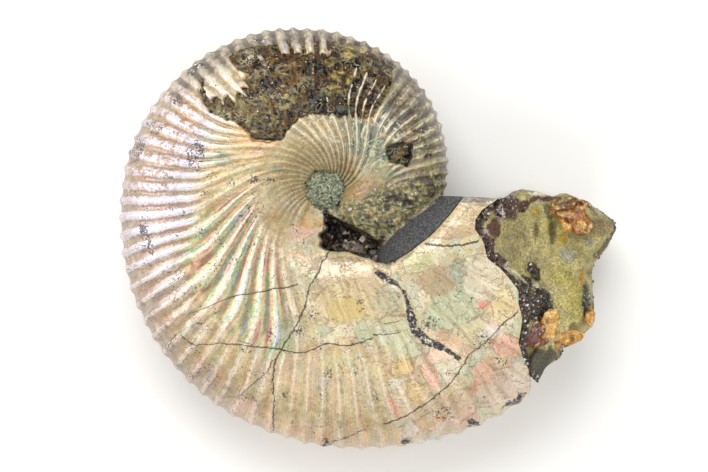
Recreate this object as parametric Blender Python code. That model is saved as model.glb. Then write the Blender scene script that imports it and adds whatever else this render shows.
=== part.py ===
"""An ammonite fossil of the scaphite kind, lying on its flank, with the rock that its mouth, seam and umbilicus hold.

The coil's axis is vertical. A place on the coil is a turn, in degrees counter-clockwise seen from above with 0 at +X,
a radius from that axis and a height above the coil's own mid-plane, both in millimetres. Turns past 276 lie on the
living chamber, which runs out over the start of the same whorl, so turn 340 and turn -20 are one direction.
"""

import math

import bmesh
import bpy
from mathutils import Vector, noise

MM = 0.001

# Driving dimensions of the coil, in millimetres and degrees
AXIS_X, AXIS_Y = -6.68, 7.75
MID_PLANE = 11.7
VENTER_START, VENTER_FLARE = 19.0, 1.1
RIB_ALLOWANCE, CRUSHED_SIDE = 0.38, 0.5
UMBILICUS_RADIUS = 3.4
UMBILICUS_RIM = 5.2
UMBILICUS_FLOOR = 2.0
WHORL_START, WHORL_END = -3.0, 357.0
RIB_COUNT = 77
RIB_CROWDING = 0.15
VENTER_RIB = 0.42
GAP = 0.3

# Sizes of single features
WINDOW_DEPTH = 0.5
PIT_TURN, PIT_RADIUS, PIT_SIZE, PIT_DEPTH = 26.0, 13.1, 2.3, 1.3
HOLLOW_FLOOR = 0.8
SHOULDER_DROP, SEAM_LIP = 0.9, 0.9
NOTCH_DEPTH = 3.2
TUBERCLE_TURNS = (270.0, 288.0, 302.5)
TUBERCLE_LIFT, TUBERCLE_RISE = 18.0, 4.2
TUBERCLE_HEIGHT, TUBERCLE_SPREAD = 0.6, 1.4

# How finely the surface is divided
COLUMNS = 2 * RIB_COUNT
WALL_ROWS = 4
ROWS_BETWEEN_RINGS = (1, 1, 3, 1, 1, 4)

# Outlines as (turn, radius) pairs: the two edges of the stone seam, and the broken edge of the shell at the mouth
SEAM_INNER = ((276, 8.6), (290, 9.8), (300, 12.0), (306, 13.2), (314, 12.4), (322, 12.4), (332, 12.9), (342, 14.3),
              (350, 16.1), (354, 17.2), (357, 17.6))
SEAM_OUTER = ((276, 9.2), (290, 10.4), (302, 12.8), (310, 15.4), (318, 16.1), (330, 17.3), (343.5, 19.2), (354, 21.2),
              (357, 21.9))
MOUTH_EDGE = ((312, 48.0), (315.5, 46.0), (317.5, 44.3), (318.8, 43.2), (319.7, 41.0), (321.7, 39.0), (326.7, 37.3),
              (329.5, 35.5), (332.4, 34.5), (335.6, 30.6), (337, 27.8), (341.9, 26.2), (345, 24.5), (348.5, 24.2),
              (352.6, 25.0), (357, 27.4))
ROCK_EDGE = ((318, 45.4), (321, 45.3), (324.4, 46.3), (326.5, 45.8), (332.8, 48.1), (337.8, 46.5), (342.5, 44.4),
             (344.8, 44.3), (348.7, 46.1), (351.8, 47.2), (353.2, 46.7), (355.2, 43.9), (357.5, 40.9))
ROCK_CREST = ((24.5, 357.6), (30.3, 360.4), (33.8, 359.5), (36.4, 358.2), (38.0, 359.2), (40.9, 357.6))
# The row of rings that the mesh follows where there is no seam, packed near the venter at the start of the whorl
RING_INNER = ((-3, 17.6), (12, 12.0), (26, 11.3), (50, 13.6), (57, 13.6), (66, 12.3), (80, 11.7), (110, 11.0),
              (130, 10.6), (146, 12.7), (200, 12.0), (276, 8.6))
RING_OUTER = ((-3, 17.85), (12, 16.0), (26, 15.2), (60, 19.5), (120, 23.0), (200, 21.0), (276, 9.2))
WINDOW_LOWER = ((57, 0.60), (65, 0.53), (80, 0.48), (110, 0.42), (130, 0.38), (146, 0.43))
WINDOW_UPPER = ((57, 0.93), (105, 0.95), (125, 0.87), (146, 0.74))
# Rib height in millimetres by turn, of the long ribs of the inner flank and the short ones outside them
INNER_RIBS = ((-3, 0.0), (4, 0.1), (50, 0.14), (62, 0.3), (92, 0.32), (104, 0.1), (150, 0.05), (186, 0.1),
              (200, 0.42), (245, 0.5), (262, 0.34), (275, 0.1), (288, 0.0))
OUTER_RIBS = ((-3, 0.1), (4, 0.34), (60, 0.3), (150, 0.32), (190, 0.34), (220, 0.3), (300, 0.28), (308, 0.2),
              (330, 0.16), (357, 0.1))


def along(table, turn):
    """The value at a turn, read off straight lines between (turn, value) pairs."""
    if turn <= table[0][0]:
        return table[0][1]
    for (low, first), (high, last) in zip(table, table[1:]):
        if turn <= high:
            return first + (last - first) * (turn - low) / (high - low)
    return table[-1][1]


def ease(low, high, value):
    """0 below low, 1 above high, and a smooth rise between them."""
    share = min(1.0, max(0.0, (value - low) / (high - low)))
    return share * share * (3.0 - 2.0 * share)


def mix(first, last, share):
    return first + (last - first) * share


def place(turn, radius, height):
    """A point of the part's own frame, in metres, from a turn, a radius and a height above the mid-plane."""
    angle = math.radians(turn)
    return Vector((AXIS_X + radius * math.cos(angle), AXIS_Y + radius * math.sin(angle), MID_PLANE + height)) * MM


def lumps(turn, radius, height, size, seed=0.0):
    """A smooth swell from -1 to 1, which changes over about one size in millimetres."""
    point = place(turn, radius, height) / (MM * size)
    return noise.noise(point + Vector((seed, seed, seed)))


def venter_radius(turn):
    """The outer edge of the whorl under its ribs: steady growth, pressed in a little opposite the mouth."""
    round_share = turn / 360.0
    spiral = VENTER_START * (1.0 + 1.331 * round_share + 0.294 * round_share**2)
    pressed = CRUSHED_SIDE * math.exp(-(((turn - 198.0) / 26.0) ** 2))
    return spiral - RIB_ALLOWANCE * ease(40.0, 100.0, turn) - pressed + VENTER_FLARE * ease(278.0, 312.0, turn)


def half_thickness(turn, side):
    """Half the whorl's thickness. The under side (-1) is the flatter one, because burial pressed it."""
    if side > 0:
        growth = math.sin(math.pi / 2 * min(1.0, (turn + 20.0) / 360.0))
        return max(5.6, 6.4 + 7.8 * growth)
    growth = math.sin(math.pi / 2 * min(1.0, (turn + 20.0) / 230.0))
    return max(5.6, 6.2 + 5.8 * growth)


def flank_share(turn, radius):
    """How far a radius lies from the umbilicus, 0, to the venter, 1."""
    return (radius - UMBILICUS_RADIUS) / (venter_radius(turn) - UMBILICUS_RADIUS)


def whorl_height(turn, radius, side):
    """Height of the smooth whorl over the mid-plane: a slope up from the umbilicus, then a full round flank."""
    share = flank_share(turn, radius)
    thickness = half_thickness(turn, side)
    if share < 0.3:
        slope = 1.0 - (max(0.0, 0.3 - share) / 0.3) ** 2
        return mix(UMBILICUS_RIM, thickness, slope)
    outward = min(1.0, (share - 0.3) / 0.7)
    return thickness * math.sqrt(max(0.0, 1.0 - outward**2.4))


def venter_point(turn, lift):
    """Radius on the round outer edge, at an angle of lift degrees from the mid-plane."""
    outward = math.cos(math.radians(lift)) ** (2.0 / 2.4)
    reach = venter_radius(turn) - UMBILICUS_RADIUS
    return UMBILICUS_RADIUS + reach * (0.3 + 0.7 * outward)


def mouth_radius(turn):
    """Where the shell is broken off at the mouth. Elsewhere nothing cuts it."""
    return along(MOUTH_EDGE, turn)


def seam_radii(turn):
    """The two edges of the stone seam on the living chamber, or rings with no seam between them elsewhere."""
    if turn < 276.0:
        return along(RING_INNER, turn), along(RING_OUTER, turn)
    return along(SEAM_INNER, turn), along(SEAM_OUTER, turn)


def early_whorl_height(turn, radius, side):
    """The start of the whorl, under the living chamber, with the dark hollow beside the umbilicus on the upper side."""
    height = whorl_height(turn - 360.0, radius, side)
    if side > 0:
        inside = ease(276.0, 281.0, turn) * (1.0 - ease(304.0, 317.0, turn)) * ease(4.0, 5.6, radius)
        height = mix(height, HOLLOW_FLOOR, inside)
    return height


def surface_height(turn, radius, side):
    """Height of the whole surface without its ribs, on either side of the mid-plane."""
    if radius < UMBILICUS_RADIUS - 0.01:
        return UMBILICUS_FLOOR
    if turn < 276.0:
        return whorl_height(turn, radius, side)
    inner, outer = seam_radii(turn)
    if radius >= outer:
        shoulder = SHOULDER_DROP * math.exp(-(radius - outer) / SHOULDER_DROP)
        return whorl_height(turn, radius, side) - shoulder
    late = whorl_height(turn, outer, side) - SHOULDER_DROP - NOTCH_DEPTH * ease(305.0, 308.0, turn)
    early = early_whorl_height(turn, min(radius, inner), side)
    covered = mix(early, late, max(0.0, (radius - inner) / (outer - inner)))
    return mix(whorl_height(turn, radius, side), covered, ease(275.0, 279.0, turn))


def rib_turn(share):
    """The turn of a column. Ribs crowd together towards the mouth, and each takes two columns."""
    swept = (1.0 + RIB_CROWDING) * share - RIB_CROWDING * share**2
    return mix(WHORL_START, WHORL_END, swept)


def rib_sweep(turn, radius):
    """How far a rib line swings back on its way in to the umbilicus, in degrees."""
    reach = max(0.0, 0.68 - radius / venter_radius(turn)) / 0.68
    return -75.0 * reach**2


def column_angle(turn, radius):
    """The direction of a point of a column, which follows one rib line."""
    late = rib_sweep(turn, radius)
    early = rib_sweep(turn - 360.0, radius)
    return turn + mix(late, early, ease(266.0, 292.0, turn))


def rib_relief(share, turn, radius):
    """Rib height: every second rib reaches the inner flank, which splits in two, and all of them cross the venter."""
    phase = share * RIB_COUNT
    reach = radius / venter_radius(turn)
    outer = 0.5 + 0.5 * math.cos(2.0 * math.pi * phase)
    inner = 0.5 + 0.5 * math.cos(math.pi * phase)
    late_split = math.exp(-(((turn - 228.0) / 34.0) ** 2))
    branching = ease(0.45 + 0.18 * late_split, 0.66 + 0.14 * late_split, reach)
    started = ease(0.0, 8.0, turn) * ease(0.10, 0.24, reach)
    flank = mix(along(INNER_RIBS, turn) * inner, along(OUTER_RIBS, turn) * outer, branching)
    relief = mix(flank, VENTER_RIB * outer, ease(0.72, 0.94, reach))
    return started * relief


def tubercle_relief(turn, radius, height):
    """Blunt knobs along the upper outer shoulder of the living chamber."""
    point = place(turn, radius, height) / MM
    relief = 0.0
    for knob_turn in TUBERCLE_TURNS:
        knob = place(knob_turn, venter_point(knob_turn, TUBERCLE_LIFT), TUBERCLE_RISE) / MM
        relief += TUBERCLE_HEIGHT * math.exp(-((point - knob).length / TUBERCLE_SPREAD) ** 2)
    return relief


def window_depth(turn, radius):
    """How far the surface steps down where the shell has flaked off the chambers."""
    reach = radius / venter_radius(turn)
    across = ease(56.0, 59.0, turn) * (1.0 - ease(144.0, 147.0, turn))
    inside = ease(-0.02, 0.02, reach - along(WINDOW_LOWER, turn)) * ease(-0.02, 0.02, along(WINDOW_UPPER, turn) - reach)
    return WINDOW_DEPTH * across * inside


def pit_depth(turn, radius):
    """The small hole chipped through the shell near the start of the whorl."""
    sideways = math.radians(turn - PIT_TURN) * PIT_RADIUS
    away = math.hypot(sideways, radius - PIT_RADIUS)
    return PIT_DEPTH * (1.0 - ease(0.7 * PIT_SIZE, PIT_SIZE, away))


def finished_point(share, turn, radius, height, side):
    """A smooth point with its ribs, wear and swells added across the surface, in the part's frame."""
    outward = max(0.0, (flank_share(turn, radius) - 0.3) / 0.7)
    tilt = math.radians(90.0 * min(1.0, outward) ** 4)
    relief = rib_relief(share, turn, radius)
    if side > 0:
        relief += tubercle_relief(turn, radius, height) - pit_depth(turn, radius) - window_depth(turn, radius)
    relief += 0.15 * lumps(turn, radius, height, 7.0) * ease(0.0, 12.0, turn) * (1.0 - ease(340.0, 355.0, turn))
    radius = min(radius + relief * math.sin(tilt), max(radius, mouth_radius(turn)))
    height = side * (height + relief * math.cos(tilt))
    return place(column_angle(turn, radius), radius, max(height, -MID_PLANE))


def ring_radii(turn):
    """The radii at which a column has its vertices, from the axis out to where the round venter begins."""
    inner, outer = seam_radii(turn)
    foot = mix(inner + 0.5, outer - 0.08, ease(305.0, 308.0, turn))
    lift = mix(22.0, 35.0, ease(-3.0, 15.0, turn))
    edge = min(venter_point(turn, lift), mouth_radius(turn))
    rings = (0.0, 0.62 * UMBILICUS_RADIUS, UMBILICUS_RADIUS, inner, foot, outer, edge)
    radii = [0.0]
    for first, last, rows in zip(rings, rings[1:], ROWS_BETWEEN_RINGS):
        radii += [mix(first, last, row / rows) for row in range(1, rows + 1)]
    return radii, lift


def whorl_section(share):
    """One column of points: over the upper side, round the venter or down the broken mouth, and back underneath."""
    turn = rib_turn(share)
    radii, lift = ring_radii(turn)
    heights = {side: [surface_height(turn, radius, side) for radius in radii] for side in (1, -1)}
    points = [finished_point(share, turn, r, h, 1) for r, h in zip(radii, heights[1])]
    for row in range(1, WALL_ROWS):
        angle = lift * (1.0 - 2.0 * row / WALL_ROWS)
        side = 1 if angle >= 0.0 else -1
        radius = min(venter_point(turn, angle), mouth_radius(turn))
        rise = abs(math.sin(math.radians(angle)) / math.sin(math.radians(lift)))
        points.append(finished_point(share, turn, radius, rise * heights[side][-1], side))
    return points + [finished_point(share, turn, r, h, -1) for r, h in zip(radii[::-1], heights[-1][::-1])]


def part_material(name, colour, roughness, metallic=0.0):
    """A plain Principled material."""
    material = bpy.data.materials.new(name)
    material.use_nodes = True
    shader = material.node_tree.nodes["Principled BSDF"]
    shader.inputs["Base Color"].default_value = (*colour, 1.0)
    shader.inputs["Roughness"].default_value = roughness
    shader.inputs["Metallic"].default_value = metallic
    return material


def new_part(name, mesh, collection, material):
    """An object of this mesh in the fossil's collection, shaded smooth except over its sharp edges."""
    mesh.shade_smooth()
    mesh.set_sharp_from_angle(angle=math.radians(40.0))
    mesh.materials.append(material)
    part = bpy.data.objects.new(name, mesh)
    collection.objects.link(part)
    return part


def mesh_of(bm, name):
    """Closes the bmesh into a mesh whose faces point out."""
    bmesh.ops.recalc_face_normals(bm, faces=bm.faces)
    if bm.calc_volume(signed=True) < 0.0:
        bmesh.ops.reverse_faces(bm, faces=bm.faces)
    mesh = bpy.data.meshes.new(name)
    bm.to_mesh(mesh)
    bm.free()
    return mesh


def ammonite_shell(collection, material):
    """The whole coil: a grid wrapped round the axis, joined along the early whorl and walled off at the mouth."""
    sections = [whorl_section(column / COLUMNS) for column in range(COLUMNS + 1)]
    rows = len(sections[0]) - 1
    bm = bmesh.new()
    bmesh.ops.create_grid(bm, x_segments=COLUMNS, y_segments=rows, size=1.0)
    for vert in bm.verts:
        column = round((vert.co.x + 1.0) / 2.0 * COLUMNS)
        row = round((vert.co.y + 1.0) / 2.0 * rows)
        vert.co = sections[column][row]
    bmesh.ops.remove_doubles(bm, verts=bm.verts, dist=0.002 * MM)
    rim = [edge for edge in bm.edges if edge.is_boundary]
    bmesh.ops.holes_fill(bm, edges=rim, sides=0)
    return new_part("ammonite_shell", mesh_of(bm, "ammonite_shell"), collection, material)


def divided_block(lengthwise, crosswise, upright):
    """A cube from -1 to 1 with its edges cut into that many parts along X, Y and Z."""
    bm = bmesh.new()
    bmesh.ops.create_cube(bm, size=2.0)
    for axis, parts in enumerate((lengthwise, crosswise, upright)):
        for cut in range(1, parts):
            normal = Vector((0.0, 0.0, 0.0))
            normal[axis] = 1.0
            everything = bm.verts[:] + bm.edges[:] + bm.faces[:]
            level = normal * (2.0 * cut / parts - 1.0)
            bmesh.ops.bisect_plane(bm, geom=everything, plane_co=level, plane_no=normal)
    return bm


def dorsal_matrix(collection, material):
    """The grey stone seam: a three-sided bar in the notch between the coil and the living chamber."""
    first = next(c for c in range(COLUMNS + 1) if rib_turn(c / COLUMNS) > 308.5)
    sections = COLUMNS - first
    bm = divided_block(sections, 1, 1)
    for vert in bm.verts:
        turn = rib_turn((first + round((vert.co.x + 1.0) / 2.0 * sections)) / COLUMNS)
        inner, outer = seam_radii(turn)
        crest = whorl_height(turn, outer, 1) - SHOULDER_DROP
        if vert.co.y > 0.0:
            radius = outer - 0.08 - GAP
            height = crest - 0.15 if vert.co.z > 0.0 else crest - NOTCH_DEPTH + 1.5 * GAP
        else:
            radius = inner + SEAM_LIP
            foot = mix(early_whorl_height(turn, inner, 1), crest - NOTCH_DEPTH, SEAM_LIP / (outer - 0.08 - inner))
            height = foot + (SEAM_LIP if vert.co.z > 0.0 else 1.5 * GAP)
        vert.co = place(turn, radius, height)
    return new_part("dorsal_matrix", mesh_of(bm, "dorsal_matrix"), collection, material)


def rock_top(turn, radius):
    """Height of the rock's upper face: a dish behind the broken edge, with raised rims and one lump."""
    inner, outer = mouth_radius(turn), along(ROCK_EDGE, turn)
    share = (radius - inner) / max(0.5, outer - inner)
    crust = min(whorl_height(turn, inner, 1) - 1.2, 11.5)
    height = mix(crust, 5.6, ease(0.05, 0.42, share))
    height += 1.2 * ease(0.75, 1.0, share) + 2.2 * (1.0 - ease(318.0, 332.0, turn)) * ease(0.2, 0.7, share)
    lump = math.hypot(math.radians(turn - 353.5) * 39.0, radius - 39.0)
    height += 2.4 * (1.0 - ease(0.8, 2.8, lump)) + 0.5 * lumps(turn, radius, 0.0, 4.0, 5.0)
    return min(height, 0.97 * whorl_height(turn, radius, 1))


def aperture_matrix(collection, material):
    """The rock in the mouth: the whorl's own section carried on past the broken shell, and broken off outside."""
    first = next(c for c in range(COLUMNS + 1) if rib_turn(c / COLUMNS) > 318.0)
    sections = COLUMNS - first
    bm = divided_block(sections, 7, 4)
    for vert in bm.verts:
        turn = rib_turn((first + round((vert.co.x + 1.0) / 2.0 * sections)) / COLUMNS)
        across = (vert.co.y + 1.0) / 2.0
        upward = vert.co.z
        inner = mouth_radius(turn) + GAP
        outer = max(inner + 0.7, along(ROCK_EDGE, turn)) - 2.0 * upward**2 * across * ease(320.0, 326.0, turn)
        radius = mix(inner, outer, across)
        bottom = -0.97 * whorl_height(turn, radius, -1)
        height = mix(bottom, rock_top(turn, radius), (upward + 1.0) / 2.0)
        if across > 0.5:
            radius += 0.5 * lumps(turn, radius, height, 3.5, 9.0)
        turn += (along(ROCK_CREST, radius) - WHORL_END) * ease(347.0, WHORL_END, turn) * ease(0.0, 0.3, across)
        vert.co = place(turn, radius, max(height, -MID_PLANE))
    return new_part("aperture_matrix", mesh_of(bm, "aperture_matrix"), collection, material)


def umbilical_plug(collection, material):
    """A low lumpy button of rock that fills the umbilicus."""
    bm = bmesh.new()
    bmesh.ops.create_uvsphere(bm, u_segments=20, v_segments=10, radius=1.0)
    for vert in bm.verts:
        turn = math.degrees(math.atan2(vert.co.y, vert.co.x))
        spread = math.hypot(vert.co.x, vert.co.y)
        upper = vert.co.z > 0.0
        radius = spread * (UMBILICUS_RADIUS - GAP - 0.05) if upper else spread * 2.55
        height = UMBILICUS_RIM - 0.2 + 1.1 * vert.co.z if upper else mix(5.0, 2.45, -vert.co.z)
        if upper:
            height += 0.25 * lumps(turn, radius, height, 1.2, 3.0)
        vert.co = place(turn, radius, height)
    return new_part("umbilical_plug", mesh_of(bm, "umbilical_plug"), collection, material)


def build():
    """Clears the scene and makes the fossil's four pieces in one collection."""
    for obj in list(bpy.data.objects):
        bpy.data.objects.remove(obj)
    collection = bpy.data.collections.new("ammonite_fossil")
    bpy.context.scene.collection.children.link(collection)
    ammonite_shell(collection, part_material("nacre", (0.62, 0.50, 0.33), 0.25))
    dorsal_matrix(collection, part_material("grey_mudstone", (0.08, 0.08, 0.075), 0.8))
    aperture_matrix(collection, part_material("olive_siltstone", (0.30, 0.27, 0.12), 0.85))
    umbilical_plug(collection, part_material("green_grey_rock", (0.17, 0.19, 0.13), 0.75))


build()
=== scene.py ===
"""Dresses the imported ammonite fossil: nacre, chambers, crystals and the rock of its mouth, on a pale table.

The coil's axis is vertical. A place on it is a turn, in degrees counter-clockwise seen from above, a radius
from the axis and a height above the coil's mid-plane, both in millimetres. Turns past 276 are the living
chamber, which runs out over the start of the same whorl. The early whorl under it has turns from -84 to -3.
"""

import math
from functools import partial, reduce

import bmesh
import bpy
import numpy as np
from mathutils import Euler, Matrix, Vector, noise


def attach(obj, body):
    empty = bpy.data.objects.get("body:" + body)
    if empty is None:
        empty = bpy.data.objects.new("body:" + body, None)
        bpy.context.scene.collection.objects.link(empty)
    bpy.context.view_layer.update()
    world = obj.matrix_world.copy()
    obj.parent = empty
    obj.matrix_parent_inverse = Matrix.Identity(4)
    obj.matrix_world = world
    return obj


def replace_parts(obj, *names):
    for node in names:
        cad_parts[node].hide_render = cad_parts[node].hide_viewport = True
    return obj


bl_info = {
    "name": "Scaphite Ammonite Fossil",
    "version": (1, 0, 0),
    "blender": (4, 5, 0),
    "location": "3D Viewport > Sidebar > Fossil",
    "description": "Builds the visible surface of a scaphite ammonite over its packed model",
    "category": "Object",
}

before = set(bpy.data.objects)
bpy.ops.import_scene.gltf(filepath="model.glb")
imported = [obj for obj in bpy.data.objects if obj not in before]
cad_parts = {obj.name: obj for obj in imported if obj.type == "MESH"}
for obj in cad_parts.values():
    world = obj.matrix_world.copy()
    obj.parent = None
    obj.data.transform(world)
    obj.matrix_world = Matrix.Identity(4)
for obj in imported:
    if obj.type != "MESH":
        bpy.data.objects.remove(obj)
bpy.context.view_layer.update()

MM = 0.001

# The photograph: millimetres to a pixel, its frame, and the pixel of the coil's axis
PIXEL = 0.16
FRAME_WIDTH, FRAME_HEIGHT = 708.0, 472.0
AXIS_PIXEL_X, AXIS_PIXEL_Y = 325.0, 190.0

# The coil, as in the part's own source
AXIS_X, AXIS_Y = -6.68, 7.75
MID_PLANE = 11.7
VENTER_START, VENTER_FLARE = 19.0, 1.1
SLOPE_SHARE, ROUNDNESS = 0.3, 2.4
RIB_ALLOWANCE, CRUSHED_SIDE = 0.38, 0.5
UMBILICUS_RADIUS = 3.4
UMBILICUS_OPENING = 2.85
HOLLOW_START = 272.0
LIVING_START = 276.0
UMBILICUS_RIM = 5.2
UMBILICUS_FLOOR = 2.0
WHORL_START, WHORL_END = -3.0, 357.0
ROCK_START = 318.0
RIB_COUNT = 77
RIB_CROWDING = 0.15
NOTCH_DEPTH = 3.2
NOTCH_START, NOTCH_FULL = 305.0, 308.0

# In millimetres: the step down into the seam, and how deep the pit and the open fracture are
SEAM_STEP = 0.9
PIT_DEPTH, FRACTURE_DEPTH = 1.7, 0.45

# The turns and the height of the knobs on the outer shoulder, and the degrees from one rib to the next
KNOB_TURNS, KNOB_HEIGHT = (270.0, 288.0, 302.5, 313.0), 0.75
RIB_SPACING = 4.67

# Outlines as (turn, radius) pairs: the edges of the stone seam, the broken shell and the rock in the mouth.
# The crest of the rock is (radius, turn) pairs, and the rings carry the seam's edges on round the coil.
SEAM_INNER = ((276, 8.6), (290, 9.8), (300, 12.0), (306, 13.2), (314, 12.4), (322, 12.4), (332, 12.9),
              (342, 14.3), (350, 16.1), (354, 17.2), (357, 17.6))
SEAM_OUTER = ((276, 9.2), (290, 10.4), (302, 12.8), (310, 15.4), (318, 16.1), (330, 17.3), (343.5, 19.2),
              (354, 21.2), (357, 21.9))
MOUTH_EDGE = ((312, 48.0), (315.5, 46.0), (317.5, 44.3), (318.8, 43.2), (319.7, 41.0), (321.7, 39.0),
              (326.7, 37.3), (329.5, 35.5), (332.4, 34.5), (335.6, 30.6), (337, 27.8), (341.9, 26.2),
              (345, 24.5), (348.5, 24.2), (352.6, 25.0), (357, 27.4))
ROCK_EDGE = ((318, 45.4), (321, 45.3), (324.4, 46.3), (326.5, 45.8), (332.8, 48.1), (337.8, 46.5),
             (342.5, 44.4), (344.8, 44.3), (348.7, 46.1), (351.8, 47.2), (353.2, 46.7), (355.2, 43.9),
             (357.5, 40.9))
ROCK_CREST = ((24.5, 357.6), (30.3, 360.4), (33.8, 359.5), (36.4, 358.2), (38.0, 359.2), (40.9, 357.6))
RING_INNER = ((-3, 17.6), (8, 12.5), (30, 9.6), (60, 9.9), (180, 12.6), (250, 11.5), (276, 8.6))
RING_OUTER = ((-3, 17.85), (8, 14.5), (30, 12.0), (60, 12.4), (180, 16.0), (250, 14.5), (276, 9.2))

# Rib height in millimetres by turn, of the long ribs of the inner flank and the short ones outside them
INNER_RIBS = ((-84, 0.0), (-8, 0.0), (4, 0.1), (50, 0.08), (66, 0.14), (74, 0.3), (92, 0.32), (104, 0.1),
              (150, 0.05), (186, 0.1), (200, 0.4), (245, 0.5), (262, 0.34), (275, 0.1), (288, 0.0))
OUTER_RIBS = ((-84, 0.0), (-8, 0.05), (4, 0.34), (60, 0.3), (150, 0.32), (190, 0.34), (220, 0.28),
              (240, 0.22), (300, 0.22), (308, 0.08), (330, 0.06), (357, 0.03))

# Places by photograph pixel. In the window the shell has flaked off the chambers, and the pit is chipped.
WINDOW = ((372, 118), (352, 119.5), (332, 118), (313, 116), (301, 120), (291, 129), (285, 141), (270, 144),
          (257, 143), (247, 134), (237, 124), (222, 119), (211, 114), (204, 104), (199, 92), (203, 80),
          (212, 70), (222, 60), (232, 53), (245, 47), (262, 44), (283, 43), (310, 39), (346, 41), (362, 43),
          (378, 52), (394, 68), (393, 81), (387, 95), (378, 110))
WINDOW_ISLAND = ((205, 74), (227, 53), (231, 62), (238, 71), (250, 75), (244, 82), (250, 90), (243, 89),
                 (248, 98), (239, 94), (236, 103), (229, 96), (224, 106), (219, 97), (210, 103), (204, 83))
PIT = ((385, 147), (392, 144.5), (402, 143), (411, 146), (413, 158), (407, 167), (399, 165), (390, 163),
       (386, 156))

# Hairline cracks as (degrees, pixels from the axis), their width in millimetres and whether they run outwards
CRACKS = (
    (((275.6, 59), (269, 70.6), (261, 98), (261, 111), (259.1, 132), (255.4, 158), (254, 175), (254.6, 192),
      (256.6, 216), (258, 246)), 0.19, True),
    (((221, 193), (225.5, 161), (227, 150), (231, 133), (237, 121), (244, 108), (254.7, 97)), 0.2, False),
    (((224, 203), (230, 201), (235.6, 184), (241, 175), (251, 165), (256.5, 163), (261.5, 163), (266, 158),
      (270.8, 151), (278.6, 156), (284, 155), (289, 153)), 0.17, False),
    (((224, 204), (225.3, 224)), 0.14, True),
    (((284, 239), (288.6, 239), (293, 235), (297, 233), (304, 227), (308, 221), (311, 216), (317, 219),
      (323, 220), (328, 226)), 0.2, False),
    (((253.4, 175), (252.2, 191), (249.5, 206), (247.5, 222), (243.4, 230)), 0.14, True),
    (((293.6, 144), (301.4, 150)), 0.12, False),
    (((288, 150.5), (298.8, 160)), 0.12, False),
    (((271, 252), (280, 240)), 0.12, False),
    (((331.5, 112), (336, 138), (341.5, 160)), 0.3, True),
)

# The radius in millimetres at which a crack's colour ramp ends, and what the ramp says past a crack's ends
CRACK_REACH = 50.0
PAST_ENDS = 2.0

# Ellipses by photograph pixel: centre, two radii and slant, in patches with their colour and strength
SOOT = ((424, 131, 5, 2.6, 30), (427, 156, 6, 2.6, 25), (327, 444, 6, 3, 0), (410, 443, 5, 4, 0),
        (473, 424, 6, 3, 20), (515, 399, 12, 7, 25), (199, 71, 11, 7, 35), (261, 45, 7, 5, 0),
        (352, 233, 4, 3, 0))
SPECKLES = ((198, 156, 10, 17, 0), (235, 183, 7, 5, 0), (254, 180, 7, 5, 0), (271, 180, 6, 4, 0),
            (205, 194, 4, 3, 0), (269, 332, 5, 6, 0), (329, 374, 5, 9, 0), (356, 366, 5, 6, 0),
            (286, 392, 4, 4, 0), (197, 372, 5, 4, 0), (315, 312, 6, 9, 0), (360, 305, 6, 8, 0),
            (440, 410, 12, 10, 0), (480, 340, 10, 8, 0), (430, 320, 8, 6, 0), (300, 330, 5, 4, 0),
            (375, 395, 5, 7, 0), (500, 360, 7, 5, 0), (470, 300, 5, 5, 0), (150, 240, 6, 20, 20),
            (140, 150, 8, 16, -20), (158, 128, 10, 8, -30), (178, 100, 10, 6, -40))
PATCHES = (
    # Lilac white on the shell tongues along the window's upper edge: painted reflection of the light above
    ("#c3bcdb", 0.85, ((285, 49, 4, 6, 0), (298, 46, 4, 6, 0), (314, 44, 5, 6, 0), (327, 46, 5, 5, 0),
                       (341, 47, 3, 6, 0), (270, 47, 3, 5, 0))),
    ("#d0c6b6", 0.85, ((222, 74, 18, 11, 35), (232, 90, 12, 5, 20))),
    ("#7c8a6e", 0.9, ((221, 160, 16, 8, 0), (275, 170, 8, 4, 0), (200, 227, 7, 6, 0), (242, 247, 6, 8, 20),
                      (270, 280, 5, 9, 15), (210, 285, 6, 4, 40))),
    ("#8d7350", 0.7, ((175, 232, 15, 6, 12), (188, 260, 10, 4, 30), (230, 260, 4, 8, -30))),
    ("#8a4a48", 0.8, ((212, 242, 6, 3, 50), (232, 325, 4, 6, 0), (247, 327, 4, 9, 0), (197, 320, 6, 3, 40))),
    ("#b58f5a", 0.6, ((160, 142, 16, 5, -10), (250, 152, 22, 5, 10), (225, 205, 16, 8, 0),
                      (275, 215, 14, 8, 20))),
    ("#2f2414", 0.9, ((402, 121, 16, 8, 40), (420, 128, 10, 4, 30), (388, 108, 9, 4, 60))),
    ("#66765a", 0.9, ((360, 134, 17, 24, 10), (380, 152, 13, 10, 0), (398, 176, 14, 7, -20))),
    ("#bf954f", 0.8, ((352, 165, 9, 12, 20), (400, 190, 20, 5, 10), (372, 118, 10, 5, 20))),
    ("#9a8a86", 0.7, ((362, 190, 7, 3, 0), (357, 205, 5, 3, 0))),
)

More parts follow.
